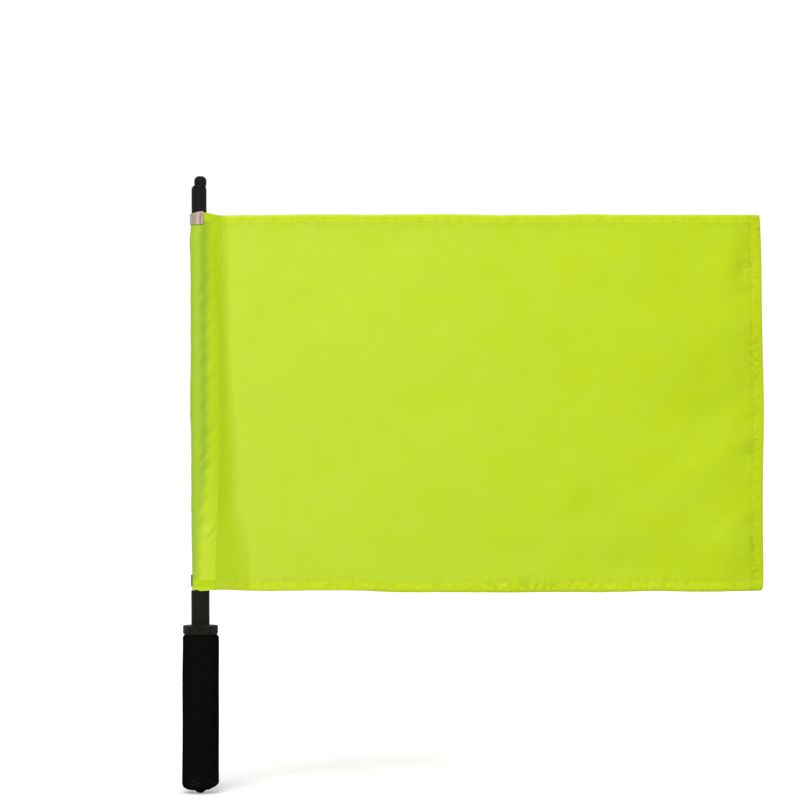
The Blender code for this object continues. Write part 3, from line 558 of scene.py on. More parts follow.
foam = {"shoulder": 2.6, "endHeight": 5.2, "slope": 0.85, "lean": 0.35, "nubRadius": 4.8, "nubHeight": 2.9,
        "bore": 7.8, "endWall": 4.15, "skirt": 5.3, "wrinkle": 0.3, "folds": 13, "swell": 0.12,
        "nubShift": -0.6, "ring": 0.14, "ringPitch": 2.4, "strokePitch": 3.1, "strokeRise": 6.5,
        "strokeReach": 3.5, "strokeHeight": 0.1}


def makeFoamGrip():
    low, high = boxMm("foam_grip")
    side, top, bottom = high[0], high[2], low[2]
    end = bottom + foam["nubHeight"]
    boreEnd = end + foam["endWall"]
    t = np.linspace(0, 1, 12)[:, None]
    dome = np.hstack([foam["nubRadius"] * t, bottom + foam["nubHeight"] * t ** 1.9])
    t = np.linspace(0, 1, 26)[:, None] * math.pi / 2
    bowl = np.hstack([foam["skirt"] + (side - foam["skirt"]) * np.sin(t) ** 0.6,
                      end + foam["endHeight"] * (1 - np.cos(t))])
    upper = roundedLine([(side, end + foam["endHeight"], 0), (side - 0.25, top, foam["shoulder"]),
                         (foam["bore"], top, 0.5), (foam["bore"], boreEnd, 1), (0, boreEnd, 0)], steps=8)
    profile = np.vstack([refined(dome, 0.4), refined(bowl, 0.4), refined(upper, 1.2)[1:]])
    wearAndHighlight = []

    # the end is lobed and wrinkled: radial folds that grow towards the nub, flat at the left and
    # sloping at the right, with short level wrinkles above them that carry a painted highlight; the
    # long side swells and dips by a tenth of a millimetre
    def shape(points):
        x, y, z = np.moveaxis(points, -1, 0)
        radius = np.hypot(x, y)
        angle = np.arctan2(y, x)
        outer = (radius > foam["bore"] + 0.4) | (z < boreEnd - 0.5)
        near = (1 - smooth(z, end + 2.0, end + 8.0)) * outer
        lobes = np.sin(foam["folds"] * angle + 1.2 * np.sin(3 * angle + 0.7)) + 0.5 * np.sin(7 * angle + 2.1)
        gather = near * bell(radius, 7.5, 5.5) * foam["wrinkle"]
        ringWay = (radius + 0.7 * np.sin(2 * angle)) / foam["ringPitch"]
        rings = near * foam["ring"] * np.sin(math.tau * ringWay)
        slope = foam["slope"] * near * smooth(radius, 4, 12.5) * (1 + np.cos(angle))
        lift = gather * lobes + rings * smooth(radius, 4.5, 7) + slope
        wave = np.sin(math.tau * z / foam["strokePitch"] + 2 * np.sin(4 * angle + 1))
        patches = np.clip(np.sin(6 * angle + 0.8 * np.sin(2 * angle)) + 0.4, 0, 1)
        level = bell(z, end + foam["strokeRise"], foam["strokeReach"])
        strokes = outer * np.clip(wave, 0, 1) ** 3 * patches * level
        wearAndHighlight.append(strokes.ravel())
        even = outer * smooth(z, end + 3, end + 12) * (1 - smooth(z, top - 4, top - 1))
        swell = foam["swell"] * even * (np.sin(2 * angle + z / 17) + np.sin(3 * angle - z / 11)) / 2
        factor = (radius + swell + foam["strokeHeight"] * strokes) / np.maximum(radius, 1e-6)
        lean = 0.7 * smooth(z, 20, top) - smooth(-z, -20, -end)
        shift = foam["nubShift"] * near * (1 - smooth(radius, 4.5, 9))
        shift = shift + foam["lean"] * lean * (radius > 9) * outer
        return np.stack([x * factor + shift, y * factor, z + lift], -1)

    points, faces = turned(profile, evenAngles(180), shape=shape)
    grip = makePiece("foamSleeve", points, faces, foamFinish, "handle", "foam_grip", sharp=70,
                     marks={"strokes": wearAndHighlight[0]})


makeFoamGrip()
print("foam grip made")

# Spindle, pole tube and cap

pole = {"wall": 1.2, "tubeEdge": 0.35, "tip": 3.0, "spindle": 4.0, "shoulder": 43.6, "neckFillet": 0.8,
        "flange": 6.15, "flangeHeight": 0.9, "plug": 4.5, "screwHole": 1.7, "holeTop": 34.8,
        "knob": 4.9, "groove": 2.3, "knobRounding": 4.0, "knobShift": 1.1, "shoulderFoot": 5.75,
        "shoulderTop": 4.6}


# the neck: a turned profile from the tip in the handle to the plug inside the pole
def makeSpindle():
    low, high = boxMm("spindle")
    flangeTop = boxMm("pole_tube")[0][2] - pieceGap
    flangeBottom = flangeTop - pole["flangeHeight"]
    profile = roundedLine([
        (0, pole["holeTop"], 0), (pole["screwHole"], pole["holeTop"], 0), (pole["screwHole"], low[2], 0.2),
        (pole["tip"], low[2], 0.3), (pole["tip"], pole["shoulder"], 0.15),
        (pole["spindle"], pole["shoulder"], 0.25), (pole["spindle"], flangeBottom, pole["neckFillet"]),
        (pole["flange"], flangeBottom, 0.25), (pole["flange"], flangeTop, 0.25),
        (pole["plug"], flangeTop, 0.15), (pole["plug"], high[2], 0.5), (0, high[2], 0)])
    points, faces = turned(refined(profile, 5), evenAngles(72))
    return makePiece("neckSpindle", points, faces, handlePlastic, "pole", "spindle")


# the pole: a ring profile of its wall, turned round the axis
def makeTube():
    low, high = boxMm("pole_tube")
    radius = high[0]
    inner = radius - pole["wall"]
    edge = pole["tubeEdge"]
    profile = roundedLine([(inner, low[2], edge), (radius, low[2], edge), (radius, high[2], edge),
                           (inner, high[2], edge)], closed=True)
    points, faces = turned(refined(profile, 12), evenAngles(96), ring=True)
    return makePiece("poleTube", points, faces, polePlastic, "pole", "pole_tube")


# the cap: a turned plug, shoulder and round-topped knob
def makeCap():
    low, high = boxMm("pole_cap")
    seat = boxMm("pole_tube")[1][2] + pieceGap
    top = high[2]
    grooveTop = seat + pole["groove"]
    profile = roundedLine([
        (0, low[2], 0), (pole["plug"], low[2], 0.6), (pole["plug"], seat, 0.1),
        (pole["shoulderFoot"], seat, 0.15), (pole["shoulderTop"], grooveTop, 0.3),
        (pole["knob"], grooveTop + 0.6, 0.3), (pole["knob"], top, pole["knobRounding"]), (0, top, 0)],
        steps=9)

    # the knob stands beside the pole's axis, and its shoulder leans over to it
    def shift(points):
        moved = points.copy()
        moved[..., 0] += pole["knobShift"] * smooth(points[..., 2], seat + 0.2, grooveTop + 0.2)
        return moved

    points, faces = turned(refined(profile, 1.5), evenAngles(84), shape=shift)
    return makePiece("capKnob", points, faces, capPlastic, "pole", "pole_cap")


makeSpindle()
makeTube()
makeCap()
print("pole made")

# Cloth: one panel from the seam to the fly edge, and the sleeve round the pole

cloth = {"thickness": 0.2, "hemStep": 0.42, "bottom": 96.5, "top": 397.0, "reach": 450.6, "depth": 6.4,
         "topHem": 6.4, "bottomHem": 8.4, "flyHem": 8.8, "stitchInset": 1.2,
         "foldFade": 30, "flyCurl": 2.2, "flyCurlWidth": 70, "stitchDip": 0.07,
         "bottomRoll": 0.5, "topRoll": 0.55, "flyRoll": 0.9, "hemSwing": 0.55, "topSwell": 0.75,
         "forward": 3.4, "drawnLines": 0.09, "lowPucker": 0.1, "tightPucker": 0.2, "bunchAt": 265,
         "bunchWidth": 34}
clothTall = cloth["top"] - cloth["bottom"]

# seam's place across and in depth at the foot, how far it moves as it rises, and where the slope
# beside it ends at the foot and how far that draws in
seamPlace = {"across": 11.6, "lowerWay": 3.6, "upperWay": 1.6, "depth": -5.5, "depthWay": 6.0,
             "slopeEnd": 38.4, "firstDraw": 6.5, "secondDraw": 8.0}

# measured shape of the edges, and the bunches up the fly hem: steps are a height and where they
# start and end, humps and bunches a height, a centre and a width; they lie along z at the fly edge
# and along x at the other two
edges = {"lower": 96.6, "upper": 396.9, "flyBeyond": 0.1, "droop": 1.6,
         "lowerCorner": 1.6, "upperCorner": 0.5, "clipLift": 1.75, "clipLiftX": 3.8,
         "clipLiftReach": 8, "leftSlope": 0.1405, "flyShort": 2.6, "flyShortReach": 165,
         "lowerSteps": [(-0.3, -5, -1.5), (-0.2, 28, 44), (-1.75, 115, 165), (-0.2, 200, 235),
                        (0.5, 422, 446)],
         "lowerHumps": [(1.2, -2.8, 2.4), (0.1, 2, 4.5), (0.4, 8.2, 1.6), (1.2, 17, 12), (-0.3, 56, 13),
                        (-0.2, 245, 16), (-0.3, 322, 12), (0.55, 362, 20), (-0.15, 405, 12)],
         "upperHumps": [(-0.75, 17, 14), (-0.4, 48, 22), (0.35, 84, 9), (0.35, 112, 12), (0.45, 190, 34),
                        (-0.45, 238, 9), (-0.25, 280, 9), (0.45, 310, 18)],
         "flyHumps": [(1.05, 244, 42), (-0.3, 156, 52), (0.85, 368, 34), (0.2, 118, 14)],
         "flyBunches": [(0.6, 350, 18), (0.6, 274, 26), (0.6, 210, 12), (0.6, 125, 26)]}

# puckers beside the stitches: height, and then pitch, slant, seed and how far they reach
topPuckers = (0.1, 6.6, 0.4, 34, 4)
flyPuckers = (0.16, 6.3, 0.3, 37, 5)

# soft waves all over the panel: height, shares of x and z in their direction, wavelength, seed
softWaves = [(0.4, 1, 0.5, 150, 21), (0.3, -0.5, 0.8, 95, 22), (0.10, 1, -0.3, 42, 23),
             (0.05, 0.2, 1, 17, 24), (0.05, 1, -0.15, 19, 25)]

# soft folds of the open panel: centre x and z, half length, half width, slant in degrees, and the
# slope across the fold, which is above 0 where the fold faces up and to the left
folds = [(388, 194, 31, 13, 39, 0.16), (424, 151, 26, 10, 45, 0.14), (403, 268, 52, 42, 25, -0.18),
         (431, 360, 26, 14, 80, -0.20), (402, 170, 26, 11, 42, -0.10), (345, 128, 32, 24, 12, -0.14),
         (303, 166, 24, 17, 30, -0.10), (242, 131, 30, 14, 8, -0.10), (430, 116, 20, 18, 30, -0.14),
         (360, 335, 60, 30, -8, -0.06), (290, 290, 70, 45, 10, -0.05), (120, 330, 60, 45, 60, 0.04),
         (150, 200, 50, 60, 75, 0.03), (425, 218, 26, 12, 48, -0.08), (395, 372, 60, 16, 0, -0.09),
         (432, 355, 12, 8, 60, -0.14), (434, 337, 10, 8, 30, -0.12), (433, 300, 14, 10, 10, -0.10),
         (428, 252, 14, 16, 30, -0.10), (436, 236, 11, 9, 20, -0.10), (434, 207, 14, 9, 30, -0.20),
         (428, 190, 14, 14, 45, -0.08), (439, 152, 9, 6, 20, -0.10), (407, 243, 22, 14, 20, -0.10),
         (285, 182, 28, 14, 80, 0.08)]

# how much the painted shade darkens the colour in the fly hem, beside it and from where to where,
# round the top hem's inner line, on the slope beside the seam, and along the upper and the lower edge
shadeAmounts = {"flyHem": 0.26, "besideFly": 0.09, "besideFrom": 9, "besideTo": 26, "topLine": 0.05,
           "slope": 0.1, "upperEdge": 0.27, "lowerEdge": 0.45}

# places painted with shade where small folds turn away from the light, small ones beside the fly
# hem and a few wide ones: centre x and z, half length, half width, slant in degrees, how much darker it is
shadePlaces = [(448, 384.5, 5, 1.1, 5, 0.30), (449, 379.8, 3, 1.0, 60, 0.25), (436, 356, 9, 5, 20, 0.11),
              (438, 335, 5, 4, 0, 0.08), (441, 306, 3, 3, 0, 0.10), (443, 294, 6, 4, 30, 0.13),
              (443, 266, 5, 3, 10, 0.11), (444, 243, 4, 3, 0, 0.12), (441, 208, 6, 6, 40, 0.17),
              (440, 181, 5, 3, 0, 0.08), (441, 151, 4, 3, 0, 0.12), (442, 134, 5, 6, 0, 0.08),
              (443, 110, 5, 3, 30, 0.10), (380, 350, 46, 15, 0, 0.08), (378, 300, 38, 16, 0, 0.08),
              (234, 341, 32, 24, 0, 0.05), (407, 232, 18, 13, 30, 0.07), (324, 157, 15, 12, 0, 0.08),
              (129, 351, 18, 16, 0, 0.04)]


# seam's place across and in depth, at shares of the cloth's height: it moves out and back as it rises
def seamX(share):
    lowerPlace = seamPlace["across"] + seamPlace["lowerWay"] * smooth(share, 0, 0.4)
    return lowerPlace + seamPlace["upperWay"] * smooth(share, 0.6, 1)


def seamY(share):
    return seamPlace["depth"] + seamPlace["depthWay"] * share


# the flat panel lies behind the pole, and nearer to the front where the upper clip draws it
def panelBase(x, share):
    return cloth["depth"] - cloth["forward"] * smooth(share, 0.35, 1) * (1 - smooth(x, 20, 130))


# where the slope beside the seam meets the flat panel
def slopeEnd(share):
    lowerEnd = seamPlace["slopeEnd"] - seamPlace["firstDraw"] * smooth(share, 0.10, 0.24)
    return lowerEnd - seamPlace["secondDraw"] * smooth(share, 0.3, 0.7)


# how the slope's steepness falls off: even low down, steepest beside the seam above
def slopePower(share):
    return 1 + 0.5 * smooth(share, 0.08, 0.28)


# fly edge: the cloth's reach, less a shortfall that grows to the upper corner as a square, with
# humps, and rounded at both corners
def flyX(share):
    z = cloth["bottom"] + share * clothTall
    above = np.maximum(1 - (1 - share) * clothTall / edges["flyShortReach"], 0)
    straight = cloth["reach"] + edges["flyBeyond"] - edges["flyShort"] * above ** 2
    corner = edges["lowerCorner"] * np.exp(-(z - cloth["bottom"]) / 1.6)
    corner = corner + edges["upperCorner"] * np.exp(-(cloth["top"] - z) / 1.0)
    return straight + summed(bell, z, edges["flyHumps"]) - corner


# lower edge: its height with steps and humps added, which make it higher at the sleeve's left, dip
# in front of the pole and step down to the fly
def lowerEdge(x):
    fine = 0.08 * wander(x, 24, 5) * smooth(x, 20, 60)
    stepped = edges["lower"] + summed(smooth, x, edges["lowerSteps"])
    return stepped + summed(bell, x, edges["lowerHumps"]) + fine


# upper edge: the clip draws it up, it slopes at the sleeve's left and falls evenly towards the fly
def upperEdge(x):
    away = x - edges["clipLiftX"]
    lift = edges["clipLift"] * np.exp(-(np.maximum(away, 0) / edges["clipLiftReach"]) ** 2)
    lift = lift + edges["leftSlope"] * np.minimum(away, 0)
    droop = -edges["droop"] * np.maximum(x, 0) / cloth["reach"]
    fine = 0.07 * wander(x, 20, 8) * smooth(x, 20, 60)
    return edges["upper"] + droop + lift + summed(bell, x, edges["upperHumps"]) + fine


# height of a point: the lower edge and its share of the way from there to the upper edge
def clothHeight(x, share):
    return lowerEdge(x) + share * (upperEdge(x) - lowerEdge(x))


# an oval that fades as a Gaussian along and across, and the distance across it
def oval(x, z, centreX, centreZ, halfLength, halfWidth, slant):
    turn = math.radians(slant)
    along = (x - centreX) * math.cos(turn) + (z - centreZ) * math.sin(turn)
    across = (z - centreZ) * math.cos(turn) - (x - centreX) * math.sin(turn)
    return np.exp(-(along / halfLength) ** 2 - (across / halfWidth) ** 2), across


# a soft fold: slope times the distance across it, inside an oval
def ridge(x, z, slope, *place):
    inside, across = oval(x, z, *place)
    return slope * across * inside


# puckers beside a line of stitches: a slanting wave whose strength wanders, fading with distance
def puckers(along, away, height, pitch, slant, seed, reach):
    wave = np.sin(math.tau * (along + slant * away) / pitch + 1.6 * wander(along, 5 * pitch, seed))
    strong = np.clip(0.6 + 0.7 * wander(along, 6 * pitch, seed + 1), 0.12, 1.2)
    return height * (wave * strong * np.exp(-(np.maximum(away, 0) / reach) ** 2))


# panel's distance behind the pole's axis: slope, diagonal folds, curled fly edge, soft waves,
# fine lines low on the slope, puckers at the hems and the groove that the stitches pull
def panelDepth(x, z, share):
    start, end = seamX(share), slopeEnd(share)
    t = np.clip((x - start) / (end - start), 0, 1)
    base = seamY(share) + (panelBase(x, share) - seamY(share)) * (1 - (1 - t) ** slopePower(share))
    roll = (cloth["bottomRoll"] * np.exp(-(z - lowerEdge(x)) / 1.1)
            + cloth["topRoll"] * np.exp(-(upperEdge(x) - z) / 1.6)
            + cloth["flyRoll"] * np.exp(-(flyX(share) - x) / 1.3))
    soft = sum(ridge(x, z, slope, *place) for *place, slope in folds)
    waves = sum(height * wander(alongX * x + alongZ * z, length, seed)
                for height, alongX, alongZ, length, seed in softWaves)
    fade = smooth(x, end, end + cloth["foldFade"])
    curlStart = cloth["reach"] - cloth["flyCurlWidth"]
    curl = cloth["flyCurl"] * (np.maximum(x - curlStart, 0) / cloth["flyCurlWidth"]) ** 2
    drawn = cloth["drawnLines"] * wander(z - 0.9 * x, 6, 27) * bell(x, 27, 12) * bell(z, 122, 18)
    bottomAway = z - lowerEdge(x) - cloth["bottomHem"]
    topAway = upperEdge(x) - z - cloth["topHem"]
    flyAway = flyX(share) - x - cloth["flyHem"]
    opened = smooth(x, end - 4, end + 12)
    bunch = bell(x, cloth["bunchAt"], cloth["bunchWidth"])
    tight = bunch + 0.6 * bell(x, 373, 12)
    pucker = cloth["lowPucker"] + cloth["tightPucker"] * tight
    hems = opened * puckers(x, bottomAway, pucker, 6.2, -0.4 - 0.6 * bunch, 31, 3 + 4 * tight)
    hems = hems + opened * puckers(x, topAway, *topPuckers)
    hems = hems + puckers(z, flyAway, *flyPuckers)
    swing = -cloth["hemSwing"] * np.clip(-bottomAway / cloth["bottomHem"], 0, 1)
    swell = -cloth["topSwell"] * np.exp(-np.maximum(topAway, 0) / 8)
    grooves = sum(bell(away, -cloth["stitchInset"], 0.9) for away in (bottomAway, topAway, flyAway))
    hems = hems + opened * (swing + swell) + cloth["stitchDip"] * np.minimum(grooves, 1)
    return base + drawn + roll + (soft + waves) * fade + curl + hems


# unit normals of a grid of points, from the cross product of its two slopes
def gridNormals(points):
    return unit(np.cross(np.gradient(points, axis=1), np.gradient(points, axis=0)))


# points on the panel's middle surface for any x and share
def panelPoints(x, share):
    z = clothHeight(x, share)
    return np.stack([x, panelDepth(x, z, share), z], -1)


# a shell from a front and a back grid: the skins, a rounded rim of three rows between them, and for
# each of its points the number of the grid point whose marks it takes
def shell(front, back):
    grid = np.arange(front[..., 0].size).reshape(front.shape[:2])
    rim = np.concatenate([grid[0, :-1], grid[:-1, -1], grid[-1, :0:-1], grid[:0:-1, 0]])
    front, back = front.reshape(-1, 3), back.reshape(-1, 3)
    first, last = front[rim], back[rim]
    middle = (first + last) / 2
    along = np.roll(middle, -1, 0) - np.roll(middle, 1, 0)
    outward = unit(np.cross(along, last - first))
    outward = outward * np.sign(np.sum(outward * (middle - middle.mean(0))) + 1e-9)
    radius = np.linalg.norm(first - last, axis=1)[:, None] / 2
    rings = [middle + math.cos(a) * (first - middle) + math.sin(a) * radius * outward
             for a in np.radians((45, 90, 135))]
    ringIndex = 2 * grid.size + np.arange(3 * len(rim)).reshape(3, -1)
    strip = np.vstack([rim, ringIndex, rim + grid.size])
    strip = np.hstack([strip, strip[:, :1]])
    order = np.concatenate([grid.ravel(), grid.ravel(), rim, rim, rim])
    faces = [gridFaces(grid), gridFaces(grid + grid.size), gridFaces(strip)]
    return np.vstack([front, back, *rings]), faces, order


# a piece of the cloth, half its thickness to each side of its middle surface and this much more
# behind; its uv is the way across and up, and its marks are what its material reads
def makeCloth(name, middle, normal, behind, finish, across, marks):
    half = cloth["thickness"] / 2
    points, faces, order = shell(middle + half * normal, middle - (half + behind) * normal)
    flat = np.stack([across, middle[..., 2]], -1).reshape(-1, 2)
    return makePiece(name, points, faces, finish, "pole", "flag_cloth", sharp=75, uv=flat[order],
                     marks={label: values.ravel()[order] for label, values in marks.items()})


# shares of the rows: close together in the hems, at their inner lines and at the stitches
def panelShares():
    low, high, inset = cloth["bottomHem"], cloth["topHem"], cloth["stitchInset"]
    bottom = [0, 1.0, 2.3, 3.8, 5.2, low - inset - 1.0, low - inset - 0.5, low - inset, low - inset + 0.5,
              low - 0.3, low - 0.08, low + 0.08]
    top = [0, 1.0, 2.3, 3.6, high - inset - 0.7, high - inset, high - inset + 0.5, high - 0.3, high - 0.08,
           high + 0.08]
    middle = np.linspace(low + 0.9, clothTall - high - 0.9, 158)
    return np.concatenate([bottom, middle, (clothTall - np.array(top))[::-1]]) / clothTall


# panel's columns for each row: the slope, the open panel and the fly hem
def panelColumns(share):
    start, end = seamX(share), slopeEnd(share)
    hem = flyX(share) - cloth["flyHem"]
    crowd = np.interp(np.linspace(0, 1, 214), [0, 0.28, 0.93, 1], [0, 0.40, 0.93, 1])[1:-1]
    line = cloth["stitchInset"]
    inner = [-0.08, 0.08, 0.4, line - 0.4, line, line + 0.5, line + 1.2, 4.0, 5.6, 7.0, 8.0, cloth["flyHem"]]
    return np.hstack([start + (end - start) * np.linspace(0, 1, 22), end + (hem - end) * crowd,
                      hem + np.array(inner)])


# the panel: a shell over the grid of panel points, with what its material reads at each point
def makePanel():
    share = panelShares()[:, None]
    x = panelColumns(share)
    middle = panelPoints(x, share)
    z = middle[..., 2]
    normal = gridNormals(middle)
    normal = normal * -np.sign(normal[..., 1:2])
    tall = upperEdge(x) - lowerEdge(x)
    bottomAway = share * tall - cloth["bottomHem"]
    topAway = (1 - share) * tall - cloth["topHem"]
    flyAway = flyX(share) - x - cloth["flyHem"]
    clear = smooth(x, seamX(share) + 1.5, seamX(share) + 3.0)
    levelHem = (bottomAway < 0) | (topAway < 0)
    layers = np.maximum(levelHem * clear, flyAway < 0) + 0.35 * (levelHem & (flyAway < 0))
    folded = np.maximum(0.72 * (1 - smooth(np.minimum(bottomAway, topAway), -2.2, 1.4)),
                        1 - smooth(flyAway, -2.2, 1.4))

    # painted shade on the slope beside the seam, which turns away from the light
    foot = 1 - smooth(share, 0.08, 0.28)
    reach = seamX(share) + (slopeEnd(share) - seamX(share)) * (0.65 + 0.35 * foot)
    deepest = 1 - 0.5 * smooth(share, 0.75, 0.95) - 0.2 * foot
    slopeShade = deepest * (1 - smooth(x, reach - 7 - 8 * foot, reach + 5))

    # where the stitches gather the cloth: along the lower and upper hem, and in bunches up the fly hem
    inset = cloth["stitchInset"]
    bunch = bell(x, cloth["bunchAt"], cloth["bunchWidth"])
    low = bell(bottomAway, -inset - 2, 4.2) * (0.42 + 0.4 * bunch)
    low = low + 0.35 * bell(topAway, -inset, 3.2)
    bunched = 0.35 + summed(bell, z, edges["flyBunches"])
    up = 0.7 * bell(flyAway, -inset - 0.6, 4.0) * bunched + 0.35 * bell(flyAway, -9, 3) * bell(z, 378, 9)

    # painted shade: the fly hem and beside it, the small folds, the slope, and lines along both level edges
    inHem = 1 - smooth(flyAway, -1.5, 1.5)
    beside = (1 - inHem) * (1 - smooth(flyAway, shadeAmounts["besideFrom"], shadeAmounts["besideTo"]))
    tarnishAndShade = shadeAmounts["flyHem"] * inHem + shadeAmounts["besideFly"] * beside
    tarnishAndShade = tarnishAndShade + shadeAmounts["topLine"] * bell(topAway, 0, 12) + shadeAmounts["slope"] * slopeShade
    tarnishAndShade = tarnishAndShade + sum(deeper * oval(x, z, *place)[0] for *place, deeper in shadePlaces)
    tarnishAndShade = tarnishAndShade + shadeAmounts["upperEdge"] * bell((1 - share) * tall, 2.7, 0.8)
    tarnishAndShade = tarnishAndShade + shadeAmounts["lowerEdge"] * bell(share * tall, 0.4, 1.2) * smooth(x, 110, 160)
    # the slope takes the hems' deeper colour and the greener colour as painted shade
    marks = {"hem": np.maximum(folded, 0.9 * slopeShade), "greenerShade": 0.4 * slopeShade * (1 - folded),
             "tarnishAndShade": tarnishAndShade * clear, "gatherAlong": low * clear, "gatherUp": np.clip(up, 0, 1.2)}
    behind = (cloth["hemStep"] * layers)[..., None]
    return makeCloth("clothPanel", middle, normal, behind, clothFinish, x, marks)


# clipTop is the lower clip's upper edge and clipBottom the upper clip's lower edge, above the cloth's
# lower edge; between them the sleeve is slack
sleeve = {"radius": 6.4, "slack": 0.5, "pressedTo": math.radians(-21), "clipTop": 13.2, "clipBottom": 291.8,
          "fade": 40, "flap": 2.4, "flare": 1.2, "wrinkle": 0.42, "sideWrinkle": 0.2, "wrinklePitch": 17,
          "wrinkleLean": 1.2, "frontBulge": 0.9, "upperBulge": 0.6, "lowerBulge": 0.7, "leftWave": 0.15,
          "rightWave": 0.2, "held": 0.12, "lapDepth": 0.12, "joinDepth": 0.3, "borderFoot": -0.5,
          "borderMove": 7.6, "borderTop": 1.2, "borderWave": 0.9, "borderPitch": 13.5}


# sleeve's middle surface: from the seam a front run to the pole, round it, and a back run to a
# short flap that lies behind the panel
def sleevePoints(share):
    height = share * clothTall
    pressed = 1 - smooth(height, sleeve["clipTop"], sleeve["clipTop"] + sleeve["fade"])
    loose = (1 - pressed) * (1 - smooth(height, sleeve["clipBottom"] - 12, sleeve["clipBottom"]))
    radius = sleeve["radius"] + sleeve["slack"] * loose
    seam = np.hstack([seamX(share), seamY(share)])
    rise = (panelBase(seamX(share), share) - seamY(share)) / (slopeEnd(share) - seamX(share))
    slopeY = rise * slopePower(share)
    direction = unit(np.hstack([np.ones_like(slopeY), slopeY]))
    behind = np.stack([-direction[:, 1], direction[:, 0]], 1)
    join = seam + behind * sleeve["joinDepth"]
    middle = np.arctan2(seam[:, 1], seam[:, 0])[:, None]
    reach = np.arccos(radius / np.hypot(seam[:, 0], seam[:, 1])[:, None])
    front = middle - reach
    back = middle + reach
    back = back + (sleeve["pressedTo"] - back) * pressed
    angles = front - (math.tau - (back - front)) * np.linspace(0, 1, 73)
    circle = radius[..., None] * np.stack([np.cos(angles), np.sin(angles)], -1)
    t = np.linspace(0, 1, 17)[None, 1:-1, None]
    frontRun = seam[:, None] + (circle[:, :1] - seam[:, None]) * t
    t = np.linspace(0, 1, 16)[None, 1:, None]
    backRun = circle[:, -1:] + (join[:, None] - circle[:, -1:]) * t
    t = np.array([0.5, 1.0, 1.5, 2.0, sleeve["flap"]])[None, :, None]
    flap = join[:, None] + direction[:, None] * t
    t = np.array([0.55, 0.3, 0.05])[None, :, None]
    lap = seam[:, None] - sleeve["lapDepth"] * behind[:, None] + direction[:, None] * t
    line = np.concatenate([lap, frontRun, circle, backRun, flap], 1)
    return np.dstack([line, clothHeight(line[..., 0], share)]), loose


# how far the sleeve stands out from its middle surface: slanting wrinkles, a bulge of the front run
# and two at the left, all weaker under the clips, a flared lower edge, and nothing at the seam
def sleeveRelief(points, loose, share):
    x, y, z = np.moveaxis(points, -1, 0)
    way = wayAlong(points[..., :2])
    ends = smooth(way, 0.5, 3.0) * (1 - smooth(way, way[:, -1:] - 5.5, way[:, -1:] - 3.0))
    over = 1 - smooth(x, 5.0, 13.0)
    reach = np.hypot(seamX(share), seamY(share))
    frontSide = smooth(-y, -1, 3)
    line = z - sleeve["wrinkleLean"] * x
    wrinkles = np.sin(math.tau * line / sleeve["wrinklePitch"] + 3.0 * wander(line, 70, 41))
    wrinkles = wrinkles * (0.55 + 0.6 * wander(line + 2 * x, 46, 43))
    height = sleeve["wrinkle"] * over + sleeve["sideWrinkle"] * (1 - over)
    relief = height * wrinkles * (0.15 + 0.85 * frontSide * smooth(x, -5.5, 1))
    relief = relief + sleeve["frontBulge"] * bell(way, 0.42 * reach, 0.3 * reach) * frontSide
    leftSide = bell(np.arctan2(y, -x), 0, 1.2)
    bulges = sleeve["upperBulge"] * bell(z, 377, 12) + sleeve["lowerBulge"] * bell(z, 252, 20)
    relief = relief + leftSide * (bulges + sleeve["leftWave"] * wander(z, 40, 44))
    relief = relief + over * sleeve["rightWave"] * wander(z + 2 * x, 27, 45) * smooth(x, -6, 0)
    flare = sleeve["flare"] * (1 - smooth(z, cloth["bottom"], 99.1)) * smooth(x, -6.5, -3.5)
    return (relief * (sleeve["held"] + (1 - sleeve["held"]) * loose) + flare) * ends


# the sleeve: its middle surface, moved out by its relief and made a shell, and its marks
def makeSleeve():
    low, high, inset = cloth["bottomHem"], cloth["topHem"], cloth["stitchInset"]
    bottom = [0, 1, 2.4, 4, 5.6, low - inset - 0.4, low - inset, low - inset + 0.4, low - 0.08, low + 0.08]
    top = [high + 0.08, high - 0.08, high - inset + 0.4, high - inset, high - inset - 0.4, 3.4, 2.2, 1, 0]
    rows = np.concatenate([bottom, np.linspace(low + 0.9, clothTall - high - 0.9, 236),
                           clothTall - np.array(top)])
    share = rows[:, None] / clothTall
    middle, loose = sleevePoints(share)
    normal = gridNormals(middle)
    away = np.sign(np.mean(np.sum(normal[..., :2] * middle[..., :2], -1)))
    middle = middle + away * normal * sleeveRelief(middle, loose, share)[..., None]
    normal = away * gridNormals(middle)
    inHem = ((rows < low) | (rows > clothTall - high))[:, None]
    x, z = middle[..., 0], middle[..., 2]

    # painted shade of the black pole behind the cloth, greener, as far as a wavy border that moves to the
    # right as it rises, and darker beside the pole's middle higher up, where the cloth turns from the light
    upper = smooth(z, 115, 225)
    border = sleeve["borderFoot"] + sleeve["borderMove"] * upper + sleeve["borderTop"] * smooth(z, 300, 360)
    border = border + sleeve["borderWave"] * np.sin(math.tau * (z - x) / sleeve["borderPitch"])
    greenerShade = 1 - smooth(x, border - 3.5 - upper, border + 3.5 + upper)
    greenerShade = 0.62 * greenerShade + 0.35 * greenerShade * bell(x, 4.5, 3.5) * upper
    doubled = smooth(x, -2, 9) * (0.15 + 0.7 * upper)
    # painted shade: the pole's greener shade, and darker shade high on the front run right of the pole, which
    # turns from the light
    marks = {"hem": np.maximum(inHem * (1 - 0.5 * greenerShade), doubled), "greenerShade": greenerShade * ~inHem,
             "tarnishAndShade": 0.14 * smooth(z, 295, 345) * smooth(x, -1, 3)}
    across = seamX(share) - wayAlong(middle[..., :2])
    return makeCloth("clothSleeve", middle, normal, 0, shadedSleeveFinish, across, marks)


clothPanel = makePanel()
clothSleeve = makeSleeve()
print("cloth made")

# Stitches: lockstitch, a needle thread in front and a bobbin thread behind each line

